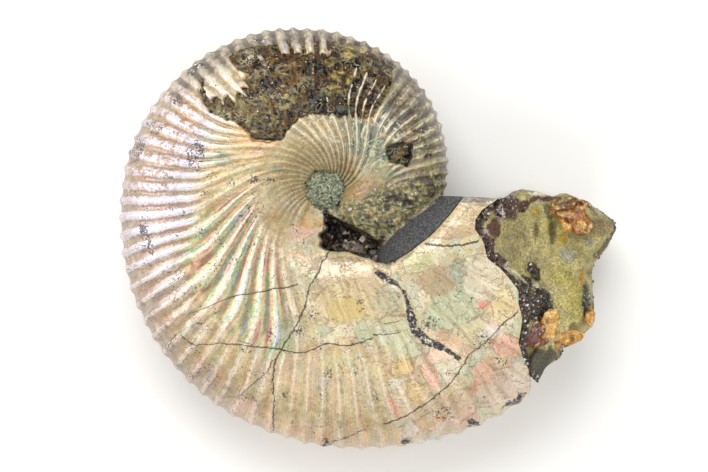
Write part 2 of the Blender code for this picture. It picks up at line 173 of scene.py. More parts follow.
# Flake plates of the living chamber: centre pixel, two radii, slant and colour as lit, and how much darker
# they are unlit. The margin of a plate is in pixels inside it, and NO_PLATE is far outside.
PLATES = (
    (347, 267, 34, 9, -7, "#b09b78"), (330, 275, 12, 18, 10, "#d8c2a2"), (300, 300, 12, 16, 20, "#dccaa0"),
    (437, 215, 34, 12, 4, "#dcc59c"), (350, 300, 34, 22, 10, "#e0cc9e"), (392, 330, 30, 16, 10, "#cfcda2"),
    (366, 275, 24, 16, 0, "#ddc8a0"), (500, 385, 30, 16, 25, "#e8d2ba"), (470, 330, 26, 15, -20, "#ddd3a4"),
    (420, 400, 26, 14, 30, "#e2caa4"), (455, 306, 34, 20, 25, "#c9d1a9"), (480, 277, 21, 24, 0, "#e6dcbc"),
    (436, 281, 17, 15, 20, "#bfa57c"), (457, 272, 8, 12, 0, "#abb094"), (416, 262, 16, 11, 20, "#cdcb98"),
    (500, 303, 10, 20, 0, "#eedca6"), (480, 304, 6, 5, 0, "#ee9178"), (504, 345, 17, 12, -15, "#f6bea2"),
    (489, 331, 12, 7, 10, "#f5ebdc"), (452, 231, 26, 8, 4, "#d0b288"), (345, 309, 20, 13, 15, "#e0c780"),
    (384, 302, 15, 11, 0, "#c6c2a0"), (385, 334, 8, 8, 0, "#d6d6bb"), (405, 348, 17, 10, 10, "#ccd3a8"),
    (401, 365, 13, 10, 20, "#e4c474"), (429, 373, 8, 14, 30, "#f4b898"), (415, 390, 9, 13, 20, "#e0bf72"),
    (393, 405, 5, 12, 25, "#f4b08e"), (457, 400, 20, 11, 30, "#e4caa6"), (475, 382, 2.6, 10, -30, "#e8875e"),
    (441, 350, 20, 9, 35, "#f2ccac"), (462, 413, 14, 6, 30, "#f2c6a8"), (246, 404, 13, 8, 10, "#e2b8a2"),
    (482, 371, 11, 12, 30, "#f6c6a8"), (410, 427, 9, 8, 0, "#f1e6da"), (480, 199, 42, 3.4, 2, "#837c74"),
    (478, 214, 18, 8, 10, "#e6d5a8"), (362, 331, 9, 11, 20, "#c2cca2"), (518, 372, 9, 12, 0, "#f0e2cc"))
PLATE_SHADE = 0.9
NO_PLATE = -40.0
INFILL_PATCHES = (
    ("#15100a", 0.9, ((318, 70, 12, 10, 0), (268, 78, 12, 10, 30), (345, 98, 30, 12, -10),
                      (318, 104, 14, 10, 0))),
    ("#58401f", 0.85, ((287, 82, 20, 12, 0), (297, 62, 9, 6, 0), (272, 60, 8, 6, 0), (300, 98, 8, 6, 0))),
    ("#8f8046", 0.85, ((342, 78, 13, 6, -10), (349, 52, 9, 7, 0), (362, 46, 7, 5, 0), (332, 62, 7, 5, 0),
                       (335, 90, 9, 4, -15))),
    ("#4d5446", 0.8, ((328, 97, 10, 7, 0), (312, 106, 8, 6, 0), (345, 110, 12, 4, 0), (300, 112, 8, 4, 0))),
    ("#756c48", 0.85, ((255, 108, 20, 12, 0), (270, 128, 20, 11, 0), (230, 104, 12, 8, 20),
                       (288, 104, 8, 8, 0))),
    ("#220f0a", 0.95, ((367, 84, 13, 24, -20), (363, 62, 6, 6, 0))),
    ("#b0a59c", 0.75, ((250, 56, 3, 9, 30), (262, 60, 2.4, 9, 30), (236, 68, 4, 4, 0), (258, 76, 2, 8, 20),
                       (313.5, 80, 1.2, 16, 0), (272, 96, 2, 7, 30))),
    # Near black: the thin streaks along the window's lower edge are painted shadow under the shell's broken
    # edge
    ("#0d0a07", 0.95, ((300, 115, 12, 2, 0), (345, 116, 26, 2.6, 0), (238, 61, 6, 5, 0),
                       (399, 154, 14, 12, 0), (250, 136, 12, 2.5, -35), (268, 142, 14, 2.4, 0))),
    ("#6b5a34", 0.9, ((403, 150, 5, 6, 0), (396, 158, 3, 4, 0))),
)
HOLLOW_LEDGE = ((356, 246, 15, 7, -12), (377, 250, 6, 5, 0))
HOLLOW_PALE = ((364, 237, 6, 2.6, -35), (346, 232, 3, 2, 0))
HOLLOW_CRYSTALS, MOUTH_CRYSTALS = 420, 700
ROCK_LUMPS = (((573, 217, 22, 17, 0), 1.2), ((590, 213, 13, 9, -40), 1.2), ((552, 232, 4, 15, 0), -0.9),
              ((535, 232, 3, 12, 0), -0.6), ((506, 208, 15, 13, 0), 1.2), ((530, 208, 4, 16, 40), 0.8),
              ((588, 290, 7, 22, -8), 1.2), ((542, 363, 20, 16, 30), 0.8), ((532, 270, 5, 11, 20), 1.0),
              ((565, 262, 18, 30, 0), -0.8), ((530, 303, 15, 16, 0), 0.9))
ROCK_CRUST = ((505, 208, 15, 14, 0), (521, 207, 8, 5, 50), (486, 245, 7, 12, 10), (498, 262, 12, 7, -45),
              (520, 287, 12, 13, -50), (534, 303, 19, 17, 0), (532, 270, 5, 11, 25), (588, 290, 7, 23, -8))
ROCK_PATCHES = (
    ("#978b66", 0.7, ((513, 243, 14, 22, -25), (534, 262, 12, 14, 0), (545, 290, 10, 10, 0))),
    ("#a79c54", 0.7, ((555, 226, 16, 12, 0), (574, 300, 12, 22, 0), (560, 278, 12, 10, 0))),
    ("#8c8b80", 0.75, ((567, 255, 9, 7, 0), (588, 242, 5, 5, 0), (540, 200, 7, 3, 0))),
    ("#b0902c", 0.75, ((562, 238, 6, 6, 0), (566, 229, 4, 4, 0), (534, 212, 6, 3, -40))),
    # Dark olive: painted shade in the grooves beside the amber nodules
    ("#64593a", 0.85, ((551, 232, 3, 12, 0), (535, 232, 2, 9, 0), (571, 330, 4, 10, 0),
                       (547, 212, 4, 10, 10))),
    ("#9d978c", 0.9, ((500, 193, 24, 3, 8), (535, 192, 12, 2.4, 0))),
    ("#54352f", 0.95, ((505, 208, 15, 14, 0), (522, 207, 9, 5, 50), (533, 199, 8, 3, 30),
                       (492, 228, 8, 10, 10), (486, 245, 7, 12, 10), (498, 262, 12, 7, -45),
                       (548, 199, 12, 2.4, 0))),
    ("#22201d", 0.95, ((520, 288, 12, 14, -50), (534, 303, 19, 16, 0), (533, 270, 5, 12, 25),
                       (588, 290, 7, 24, -8), (477, 240, 3, 8, 0))),
    ("#d5cdb4", 0.95, ((512, 271, 6, 2.4, -35), (520, 278, 8, 1.6, -45), (505, 266, 3, 4, 0),
                       (539, 194, 13, 2, 0), (499, 209, 2.4, 8, 20), (534, 284, 4, 2, 0),
                       (540, 317, 3, 3, 0))),
    ("#b9a7b4", 0.8, ((498, 216, 2.4, 8, 20), (484, 232, 3, 3, 0), (510, 196, 5, 2, 0))),
    ("#4d4a40", 0.95, ((542, 364, 22, 17, 30),)),
    ("#8a7a58", 0.8, ((600, 226, 12, 14, -20), (594, 212, 10, 5, -35))),
    ("#5e4426", 0.85, ((578, 202, 14, 2.6, -15), (590, 208, 8, 3, -35), (610, 222, 2, 8, 0))),
    ("#a9772c", 0.85, ((580, 277, 3, 8, 0), (566, 343, 13, 3, 20))),
)
# Calcite nodules: centre pixel, half sizes in millimetres, turn and lean in degrees, height, and colour
NODULES = (
    (573, 219, 2.9, 2.4, 1.7, -10, 0, 7.3, "#9a5e22"), (581, 227, 1.3, 0.8, 1.0, -35, 0, 8.2, "#d0a458"),
    (564, 226, 0.8, 1.3, 1.0, 20, 0, 8.2, "#c28c3c"), (565, 205, 2.0, 0.9, 1.0, 20, 0, 8.2, "#6b431a"),
    (584, 207, 1.7, 0.8, 0.9, -35, 0, 7.2, "#75491e"), (552, 207, 0.8, 2.0, 0.8, -15, 0, 7.0, "#8a5c26"),
    (548, 326, 1.8, 2.9, 0.9, -15, 20, 6.4, "#c8923a"), (540, 340, 2.0, 1.0, 1.0, 30, 0, 5.9, "#8a5422"),
    (560, 339, 3.8, 1.3, 1.0, 20, 0, 5.4, "#b57f30"), (573, 337, 1.7, 0.9, 0.9, 35, 0, 5.2, "#bb9548"),
    (588, 317, 0.9, 1.5, 1.0, -5, 0, 5.4, "#b98536"), (526, 336, 2.5, 1.9, 1.3, -5, 0, 7.4, "#6a3427"),
    (535, 330, 1.5, 1.5, 1.2, 20, 0, 7.6, "#74402f"),
)

# What a kind of node is set to, and which of its outputs is read, unless a call says otherwise
USUAL_SETTINGS = {"Mix": {"data_type": "RGBA", "clamp_result": False},
                  "MapRange": {"interpolation_type": "SMOOTHSTEP"}}
USUAL_OUTPUT = {"TexCoord": "Object", "Attribute": "Fac", "TexNoise": "Fac"}

# The numbers that the shell's mesh holds for its material
SHELL_MARKS = ("phase", "split", "soot", "worn", "margin", "ribbed", "broad", "mosaic", "fire", "rust",
               "speckle", "face", "clear", "stain", "dirt_and_rim_shade")

# Mesh rows: the marks are rows at which the rings lie, over the top and then underneath
TOP_MARKS = (0, 3, 6, 30, 32, 36, 74)
WALL_END = 94
UNDER_MARKS = (94, 108, 110, 111, 120, 122, 123)
COLUMNS_PER_RIB = 7


def linear(code):
    """A linear colour with alpha from an sRGB hex code."""
    parts = [int(code[i:i + 2], 16) / 255.0 for i in (1, 3, 5)]
    return tuple(c / 12.92 if c <= 0.04045 else ((c + 0.055) / 1.055) ** 2.4 for c in parts) + (1.0,)


def ease(low, high, value):
    """0 below low, 1 above high, and a smooth rise between them."""
    share = np.clip((value - low) / (high - low), 0.0, 1.0)
    return share * share * (3.0 - 2.0 * share)


def span(rise_from, rise_to, fall_from, fall_to, value):
    """1 over a span of values, with a smooth slope at either end, and 0 outside it."""
    return ease(rise_from, rise_to, value) * (1.0 - ease(fall_from, fall_to, value))


def mix(first, last, share):
    """A value between the first and the last, by its share of the way."""
    return first + (last - first) * share


def along(table, turn):
    """The value at each turn, on straight lines between (turn, value) pairs."""
    turns, values = zip(*table)
    return np.interp(turn, turns, values)


def bump(centre, width, value):
    """A smooth hill of height 1."""
    return np.exp(-(((value - centre) / width) ** 2))


def place(turn, radius, height):
    """Points in millimetres in the part's frame."""
    angle = np.radians(turn)
    x = AXIS_X + radius * np.cos(angle)
    y = AXIS_Y + radius * np.sin(angle)
    return np.stack([x, y, MID_PLANE + height], axis=-1)


def swell(points, size, seed=0.0):
    """Smooth noise from about -1 to 1, which changes over one size in millimetres."""
    return np.array([noise.noise(p) for p in (points / size + seed).tolist()])


def cell_gap(points, size, seed=0.0):
    """0 on the borders of irregular cells of one size in millimetres, rising towards their middles."""
    found = [noise.voronoi(p)[0] for p in (points / size + seed).tolist()]
    return np.array([d[1] - d[0] for d in found])


def venter_radius(turn):
    """Radius of the coil's outer edge."""
    round_share = turn / 360.0
    spiral = VENTER_START * (1.0 + 1.331 * round_share + 0.294 * round_share**2)
    pressed = CRUSHED_SIDE * bump(198.0, 26.0, turn)
    flare = VENTER_FLARE * ease(278.0, 312.0, turn)
    return spiral - RIB_ALLOWANCE * ease(40.0, 100.0, turn) - pressed + flare


def half_thickness(turn, side):
    """The greatest height of the whorl over the mid-plane, or its depth under it."""
    upper = 6.4 + 7.8 * np.sin(math.pi / 2 * np.minimum(1.0, (turn + 20.0) / 360.0))
    under = 6.2 + 5.8 * np.sin(math.pi / 2 * np.minimum(1.0, (turn + 20.0) / 230.0))
    return np.maximum(5.6, np.where(side > 0, upper, under))


def whorl_height(turn, radius, side):
    """Height of the smooth whorl over the mid-plane: a slope up from the umbilicus, then a round flank."""
    share = (radius - UMBILICUS_RADIUS) / (venter_radius(turn) - UMBILICUS_RADIUS)
    thickness = half_thickness(turn, side)
    slope = mix(UMBILICUS_RIM, thickness, 1.0 - (np.maximum(0.0, SLOPE_SHARE - share) / SLOPE_SHARE) ** 2)
    outward = np.clip((share - SLOPE_SHARE) / (1.0 - SLOPE_SHARE), 0.0, 1.0)
    return np.where(share < SLOPE_SHARE, slope, thickness * np.sqrt(1.0 - outward**ROUNDNESS))


def venter_point(turn, lift):
    """Radius on the round outer edge, at an angle of lift degrees from the mid-plane."""
    outward = np.cos(np.radians(lift)) ** (2.0 / ROUNDNESS)
    return mix(UMBILICUS_RADIUS, venter_radius(turn), SLOPE_SHARE + (1.0 - SLOPE_SHARE) * outward)


def opening(turn):
    """Radius of the ragged rim of shell round the umbilicus."""
    angle = np.radians(turn)
    ragged = 0.2 * np.sin(3.0 * angle + 0.6) + 0.16 * np.sin(7.0 * angle) + 0.1 * np.sin(16.0 * angle)
    return UMBILICUS_OPENING + ragged


def seam_radii(turn):
    """Radii of the two edges of the seam between the whorls, or of the ring that the mesh keeps there."""
    inner = np.where(turn < LIVING_START, along(RING_INNER, turn), along(SEAM_INNER, turn))
    outer = np.where(turn < LIVING_START, along(RING_OUTER, turn), along(SEAM_OUTER, turn))
    return inner, outer


def surface_height(turn, radius, side):
    """Height of the whole surface without its relief, on either side of the mid-plane."""
    inner, outer = seam_radii(turn)
    angle = column_angle(turn, radius)
    start = HOLLOW_START + 4.0 * np.sin(1.4 * radius) + 2.5 * np.sin(3.3 * radius)
    covers = ease(275.0, 279.0, turn) * ease(start - 6.0, start, angle)
    rounded = np.exp(-np.maximum(0.0, radius - outer) / SEAM_STEP)
    late = whorl_height(turn, radius, side) - SEAM_STEP * covers * rounded
    foot = whorl_height(turn, outer, side) - SEAM_STEP - NOTCH_DEPTH * ease(NOTCH_START, NOTCH_FULL, turn)
    within = np.minimum(radius, inner)
    early = whorl_height(turn - 360.0, within, side)
    hollow = (1.0 - ease(304.0, 317.0, turn)) * ease(3.9, 5.0, within) * (side > 0)
    early = mix(early, 0.8, hollow)
    covered = mix(early, foot, np.maximum(0.0, (radius - inner) / (outer - inner)))
    covered = mix(whorl_height(turn, radius, side), covered, covers)
    height = np.where(radius >= outer, late, covered)
    height = np.where(turn < LIVING_START, whorl_height(turn, radius, side), height)
    return np.where(radius < opening(angle) - 0.01, UMBILICUS_FLOOR, height)


def rib_turn(share):
    """The turn of a share of all ribs, which crowd a little towards the mouth."""
    swept = (1.0 + RIB_CROWDING) * share - RIB_CROWDING * share**2
    return mix(WHORL_START, WHORL_END, swept)


def rib_sweep(turn, radius):
    """How far a rib line swings back on its way in to the umbilicus, in degrees."""
    reach = np.maximum(0.0, 0.68 - radius / venter_radius(turn)) / 0.68
    return -75.0 * reach**2


def column_angle(turn, radius):
    """The direction of a point of a column, which follows one rib line."""
    return turn + mix(rib_sweep(turn, radius), rib_sweep(turn - 360.0, radius), ease(266.0, 292.0, turn))


def photo_pixels(points):
    """The photograph's pixel over each point."""
    return (points[:, 0] - AXIS_X) / PIXEL + AXIS_PIXEL_X, AXIS_PIXEL_Y - (points[:, 1] - AXIS_Y) / PIXEL


def photo_place(x, y):
    """Where a pixel of the photograph lies, in millimetres in the part's frame."""
    return (x - AXIS_PIXEL_X) * PIXEL + AXIS_X, (AXIS_PIXEL_Y - y) * PIXEL + AXIS_Y


def inside(points, outline):
    """Millimetres inside a closed outline of photograph pixels, and less than 0 outside it."""
    x, y = photo_pixels(points)
    nearest = np.full(len(x), 1.0e6)
    within = np.zeros(len(x), bool)
    for (ax, ay), (bx, by) in zip(outline, outline[1:] + outline[:1]):
        run, rise = bx - ax, (by - ay) or 1.0e-6
        share = np.clip(((x - ax) * run + (y - ay) * rise) / (run**2 + rise**2), 0.0, 1.0)
        nearest = np.minimum(nearest, np.hypot(x - ax - share * run, y - ay - share * rise))
        within ^= ((ay > y) != (by > y)) & (x < run * (y - ay) / rise + ax)
    return np.where(within, nearest, -nearest) * PIXEL


def spot_depth(points, ellipses, ragged):
    """1 at the middles of some ellipses by photograph pixel, and 0 on their rough edges."""
    x, y = photo_pixels(points)
    depth = np.full(len(x), -9.0)
    for centre_x, centre_y, long_radius, short_radius, slant in ellipses:
        c, s = math.cos(math.radians(slant)), math.sin(math.radians(slant))
        u = ((x - centre_x) * c - (y - centre_y) * s) / long_radius
        v = ((x - centre_x) * s + (y - centre_y) * c) / short_radius
        depth = np.maximum(depth, 1.0 - np.hypot(u, v))
    return depth + 0.3 * ragged


def spots(points, ellipses, ragged, softness=0.16):
    """0 to 1 within some ellipses."""
    return ease(-0.02, softness - 0.02, spot_depth(points, ellipses, ragged))


def window_edge(coil, points):
    """Millimetres inside the flaked window, with shell left as islands and on the crests of some ribs."""
    edge = np.minimum(inside(points, WINDOW), -inside(points, WINDOW_ISLAND))
    off_crest = np.abs(coil.phase - np.round(coil.phase)) * RIB_SPACING * math.pi / 180.0 * coil.radius
    tongues = span(86.0, 89.0, 106.0, 110.0, coil.turn) * ease(0.83, 0.87, coil.reach)
    lines = span(58.0, 60.0, 76.0, 79.0, coil.turn) * (1.0 - ease(0.79, 0.85, coil.reach))
    edge = np.where(tongues > 0.5, np.minimum(edge, off_crest - 0.6), edge)
    edge = np.where(lines > 0.5, np.minimum(edge, off_crest - 0.16), edge)
    return edge + 0.35 * swell(points, 1.7, 11.0) + 0.2 * swell(points, 0.6, 4.0)


def trench_offset(turn, radius):
    """Millimetres across, and 0 to 1 along, the dark fracture that runs out over the living chamber."""
    line = np.interp(radius, (15.5, 18.7, 20.4, 22.4, 24.2, 26.4, 29.1, 31.8, 34.2),
                     (302.4, 307.4, 307.7, 306.0, 304.2, 302.6, 304.3, 307.3, 308.5))
    across = (turn - line) * radius * math.pi / 180.0
    length = span(14.8, 15.6, 33.8, 34.8, radius)
    return across, length


def tilt_of(reach):
    """How far the way out of the surface leans from upright, in radians, at a reach to the outer edge."""
    return np.radians(90.0 * np.clip((reach - 0.37) / 0.63, 0.0, 1.0) ** 4)


class CoilMesh:
    """The coil's grid in its own coordinates, and what every point of it is."""

    def __init__(self, share, row):
        self.turn = rib_turn(share)
        inner, outer = seam_radii(self.turn)
        foot = mix(inner + 0.5, outer - 0.08, ease(NOTCH_START, NOTCH_FULL, self.turn))
        lift = mix(22.0, 35.0, ease(-3.0, 15.0, self.turn))
        self.mouth = along(MOUTH_EDGE, self.turn)
        edge = np.minimum(venter_point(self.turn, lift), self.mouth)
        flat = np.zeros_like(inner)
        rim = opening(column_angle(self.turn, flat + UMBILICUS_OPENING))
        rings = np.stack([flat, flat + 0.62 * UMBILICUS_OPENING, rim, inner, foot, outer, edge])
        over = self.between(rings, TOP_MARKS, row)
        under = self.between(rings[::-1], UNDER_MARKS, row)
        angle = lift * np.clip(1.0 - 2.0 * (row - TOP_MARKS[-1]) / (WALL_END - TOP_MARKS[-1]), -1.0, 1.0)
        wall = (row > TOP_MARKS[-1]) & (row < WALL_END)
        self.side = np.where(row <= TOP_MARKS[-1], 1.0, np.where(wall & (angle >= 0.0), 1.0, -1.0))
        round_radius = np.minimum(venter_point(self.turn, angle), self.mouth)
        self.radius = np.where(wall, round_radius, np.where(row <= TOP_MARKS[-1], over, under))
        rise = np.where(wall, np.abs(np.sin(np.radians(angle))) / np.sin(np.radians(lift)), 1.0)
        sampled = np.where(wall, edge, self.radius)
        self.height = rise * surface_height(self.turn, sampled, self.side)
        self.angle = column_angle(self.turn, self.radius)
        early = (self.turn >= LIVING_START) & (self.radius < 0.5 * (inner + outer))
        early &= self.angle > HOLLOW_START - 4.0
        self.sheet_turn = np.where(early, self.turn - 360.0, self.turn)
        self.reach = self.radius / venter_radius(self.sheet_turn)
        self.smooth = place(self.angle, self.radius, self.side * self.height)
        self.phase = share * RIB_COUNT + 0.2 * swell(self.smooth, 8.0, 2.0)
        self.phase += 0.07 * swell(self.smooth, 2.5, 3.0)
        self.tilt = tilt_of(self.reach)

    @staticmethod
    def between(rings, marks, row):
        """The radius at each row, between the rings that lie at the marks."""
        step = np.clip(np.searchsorted(marks, row, side="right") - 1, 0, len(marks) - 2)
        low, high = np.array(marks, float)[step], np.array(marks, float)[step + 1]
        share = np.clip((row - low) / (high - low), 0.0, 1.0)
        columns = np.arange(len(row))
        return mix(rings[step, columns], rings[step + 1, columns], share)

    def shift(self, relief):
        """The points moved out of the surface by the relief, in millimetres."""
        outward = relief * np.sin(self.tilt)
        radius = np.minimum(self.radius + outward, np.maximum(self.radius, self.mouth))
        height = self.side * (self.height + relief * np.cos(self.tilt))
        return place(self.angle, radius, np.maximum(height, -MID_PLANE))


def rib_split(turn, reach):
    """How far the long inner ribs have split into the short outer ones."""
    bold = bump(228.0, 34.0, turn)
    return ease(0.45 + 0.2 * bold, 0.62 + 0.18 * bold, reach)


def rib_relief(coil, sizes):
    """Rib height in millimetres."""
    turn, reach = coil.sheet_turn, coil.reach
    broad = broad_ribs(turn) * (1.0 - ease(0.88, 0.97, reach))
    outer = 0.5 + 0.5 * np.cos(2.0 * math.pi * coil.phase)
    outer = mix(outer**1.8, outer**0.7, broad)
    inner = (0.5 + 0.5 * np.cos(math.pi * coil.phase)) ** 2.2
    started = ease(0.10, 0.2, reach) * mix(1.0, ease(0.26, 0.42, reach), ease(186.0, 200.0, turn))
    inner, outer_height = along(INNER_RIBS, turn) * inner, along(OUTER_RIBS, turn) * outer
    ribs = mix(inner, outer_height, rib_split(turn, reach)) * started
    venter = sizes.venter_rib / MM * outer * ease(-6.0, 8.0, turn)
    lively = 1.0 + 0.35 * swell(coil.smooth, 4.0, 8.0)
    return mix(ribs * sizes.flank_rib_scale, venter, ease(0.8, 0.95, reach)) * lively


def broad_ribs(turn):
    """1 where the ribs of the flank are broad, smooth bands with thin furrows."""
    return span(128.0, 145.0, 192.0, 210.0, turn)


def knob_relief(points):
    """Blunt tubercles along the outer shoulder of the living chamber."""
    relief = np.zeros(len(points))
    for turn in KNOB_TURNS:
        knob = place(turn, float(venter_point(np.array(turn), 18.0)), 4.2)
        relief += KNOB_HEIGHT * np.exp(-(np.linalg.norm(points - knob, axis=1) ** 2))
    return relief


def pit_edge(points):
    """Millimetres inside the chipped hole near the start of the whorl."""
    return inside(points, PIT) + 0.25 * swell(points, 1.2, 7.0)


def finish_mesh(bm, name, sharp=None):
    """A mesh of closed, outward faces, shaded smooth but for edges sharper than an angle in degrees."""
    bmesh.ops.recalc_face_normals(bm, faces=bm.faces)
    if bm.calc_volume(signed=True) < 0.0:
        bmesh.ops.reverse_faces(bm, faces=bm.faces)
    mesh = bpy.data.meshes.new(name)
    bm.to_mesh(mesh)
    bm.free()
    mesh.shade_smooth()
    if sharp:
        mesh.set_sharp_from_angle(angle=math.radians(sharp))
    return mesh


def add_piece(name, mesh, materials):
    """An object at the origin that rides on the fossil's one body."""
    for material in materials:
        mesh.materials.append(material)
    piece = bpy.data.objects.new(name, mesh)
    bpy.context.scene.collection.objects.link(piece)
    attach(piece, "root")
    return piece


def set_points(verts, points):
    """Moves vertices to their points, given in millimetres."""
    for vert, point in zip(verts, (points * MM).tolist()):
        vert.co = point


def set_layer(verts, layer, values):
    """Gives vertices their numbers or colours, which the materials read."""
    for vert, value in zip(verts, np.asarray(values, float).tolist()):
        vert[layer] = value


def shares(verts):
    """Where the vertices of a shape from -1 to 1 lie, as shares from 0 to 1 along each axis."""
    return ((np.array([vert.co[:] for vert in verts]) + 1.0) / 2.0).T


def as_colour(paint):
    """A hex code or a grey as a linear colour, and anything else as it is."""
    if isinstance(paint, str):
        return linear(paint)
    return (paint, paint, paint, 1.0) if isinstance(paint, float) else paint


class Finish:
    """A material in the making: its shader tree, and its colour, which is laid on in coats."""

    def __init__(self, name, ground=None):
        """Ground is the name of a colour that the mesh holds for each vertex."""
        self.material = bpy.data.materials.new(name)
        self.material.use_nodes = True
        self.tree = self.material.node_tree
        self.colour = self.node("Attribute", attribute_name=ground, output="Color") if ground else None

    def plug(self, made, inputs):
        """Sets or links a node's inputs, by name or number."""
        for name, value in inputs.items():
            if isinstance(value, bpy.types.NodeSocket):
                self.tree.links.new(value, made.inputs[name])
            else:
                made.inputs[name].default_value = value

    def node(self, kind, *values, output=None, stops=(), **named):
        """Adds a shader node, or a Math node by its operation in capitals, and returns one of its outputs.

        Values fill its inputs in order. A name with a capital is an input too, and any other is a setting.
        Stops are a ramp's (position, colour) pairs.
        """
        if kind.isupper():
            kind, named["operation"] = "Math", kind
        made = self.tree.nodes.new("ShaderNode" + kind)
        for name, value in (USUAL_SETTINGS.get(kind, {}) | named).items():
            if name[0].islower():
                setattr(made, name, value)
        in_use = [number for number, socket in enumerate(made.inputs) if socket.enabled]
        self.plug(made, dict(zip(in_use, values)))
        self.plug(made, {name: value for name, value in named.items() if name[0].isupper()})
        if stops:
            elements = made.color_ramp.elements
            while len(elements) < len(stops):
                elements.new(1.0)
            for element, (position, paint) in zip(elements, stops):
                element.position = position
                element.color = as_colour(paint)
        output = output or USUAL_OUTPUT.get(kind)
        return made.outputs[output] if output else next(socket for socket in made.outputs if socket.enabled)

    def coat(self, mask, paint, strength=1.0):
        """Lays paint over the colour where a mask is 1."""
        if strength != 1.0:
            mask = self.node("MULTIPLY", mask, strength)
        self.colour = self.node("Mix", mask, self.colour, as_colour(paint))

    def shade(self, amount, signal, stops):
        """Darkens and lightens the colour by a ramp of a signal."""
        tone = self.node("ValToRGB", signal, stops=stops)
        self.colour = self.node("Mix", amount, self.colour, tone, blend_type="MULTIPLY")

    def mottle(self, size, detail=3.0, roughness=0.55, distortion=0.0, output=None):
        """Noise over the piece that changes over one size in millimetres."""
        return self.node("TexNoise", self.node("TexCoord"), Scale=1.0 / (size * MM), Detail=detail,
                         Roughness=roughness, Distortion=distortion, output=output)

    def curls(self, size, count, width):
        """1 on thin curly lines, the level lines of a noise that changes over one size in millimetres."""
        level = self.node("MULTIPLY", self.mottle(size, 2.0, 0.5, 1.6), count)
        off = self.node("ABSOLUTE", self.node("SUBTRACT", self.node("FRACT", level), 0.5))
        return self.node("SUBTRACT", 1.0, self.node("MapRange", off, 0.3 * width, width))

    def done(self, inputs, relief=None, strength=0.8, depth=0.0):
        """The material, with its shader's other inputs, and bumps of a depth in millimetres by a relief."""
        if relief is not None:
            bumps = self.node("Bump", Strength=strength, Distance=depth * MM, Height=relief)
            inputs = {**inputs, "Normal": bumps}
        self.plug(self.tree.nodes["Principled BSDF"], {"Base Color": self.colour, **inputs})
        return self.material


def polar_of(node):
    """Where a point lies as seen from above: its share of a full turn, and its radius in metres."""
    axis = (AXIS_X * MM, AXIS_Y * MM, 0.0)
    from_axis = node("VectorMath", node("TexCoord"), axis, operation="SUBTRACT")
    x, y = (node("SeparateXYZ", from_axis, output=name) for name in "XY")
    squares = node("MULTIPLY_ADD", y, y, node("MULTIPLY", x, x))
    turn = node("DIVIDE", node("ARCTAN2", y, x), 2.0 * math.pi)
    return node("FRACT", node("ADD", turn, 1.0)), node("SQRT", squares)


def crack(nacre, polar, path, width, radial):
    """1 on a hairline crack through points of (degrees, photograph pixels from the axis)."""
    node, (turn, radius) = nacre.node, polar
    across = [degrees / 360.0 for degrees, _ in path]
    outward = [pixels * PIXEL / CRACK_REACH for _, pixels in path]
    inputs, outputs = (outward, across) if radial else (across, outward)
    pairs = sorted(zip(inputs, outputs))
    stops = [(pairs[0][0] - 0.001, PAST_ENDS), *pairs, (pairs[-1][0] + 0.001, PAST_ENDS)]
    scaled = node("DIVIDE", radius, CRACK_REACH * MM)
    line = node("ValToRGB", scaled if radial else turn, stops=stops)
    off = node("SUBTRACT", turn if radial else scaled, line)
    off = node("MULTIPLY", off, node("MULTIPLY", radius, 2.0 * math.pi) if radial else CRACK_REACH * MM)
    jag = node("SUBTRACT", nacre.mottle(0.9, 3.0, 0.65), 0.5)
    off = node("ABSOLUTE", node("MULTIPLY_ADD", jag, 0.9 * MM, off))
    return node("SUBTRACT", 1.0, node("MapRange", off, 0.2 * width * MM, 0.85 * width * MM))


def lay_streaks(nacre, marks, radius):
    """Streaks that follow the ribs: honey and pearl, then pink, green and lilac. Returns the first tone."""
    node, streaks = nacre.node, []
    for across, outward, shift in ((2.6, 7.0, 0.0), (1.3, 9.0, 9.0)):
        along_rib = node("CombineXYZ", node("MULTIPLY", marks["phase"], across),
                         node("DIVIDE", radius, outward * MM), shift)
        streaks.append(node("TexNoise", along_rib, Scale=1.0, Detail=4.0, Roughness=0.62))
    honey = ((0.37, "#c0ad8c"), (0.46, "#efe8da"), (0.54, 1.0), (0.63, 1.22))
    nacre.shade(node("MULTIPLY_ADD", marks["mosaic"], -0.25, 0.4), streaks[0], honey)
    pearl = node("ValToRGB", streaks[1], stops=(
        (0.36, "#96453f"), (0.43, "#dc9a86"), (0.48, "#d8c38e"), (0.53, "#a5c585"), (0.58, "#6f9f8a"),
        (0.65, "#d9cbec")))
    nacre.coat(node("MULTIPLY_ADD", marks["fire"], 0.5, 0.16), pearl)
    return node("ValToRGB", streaks[0], stops=honey)


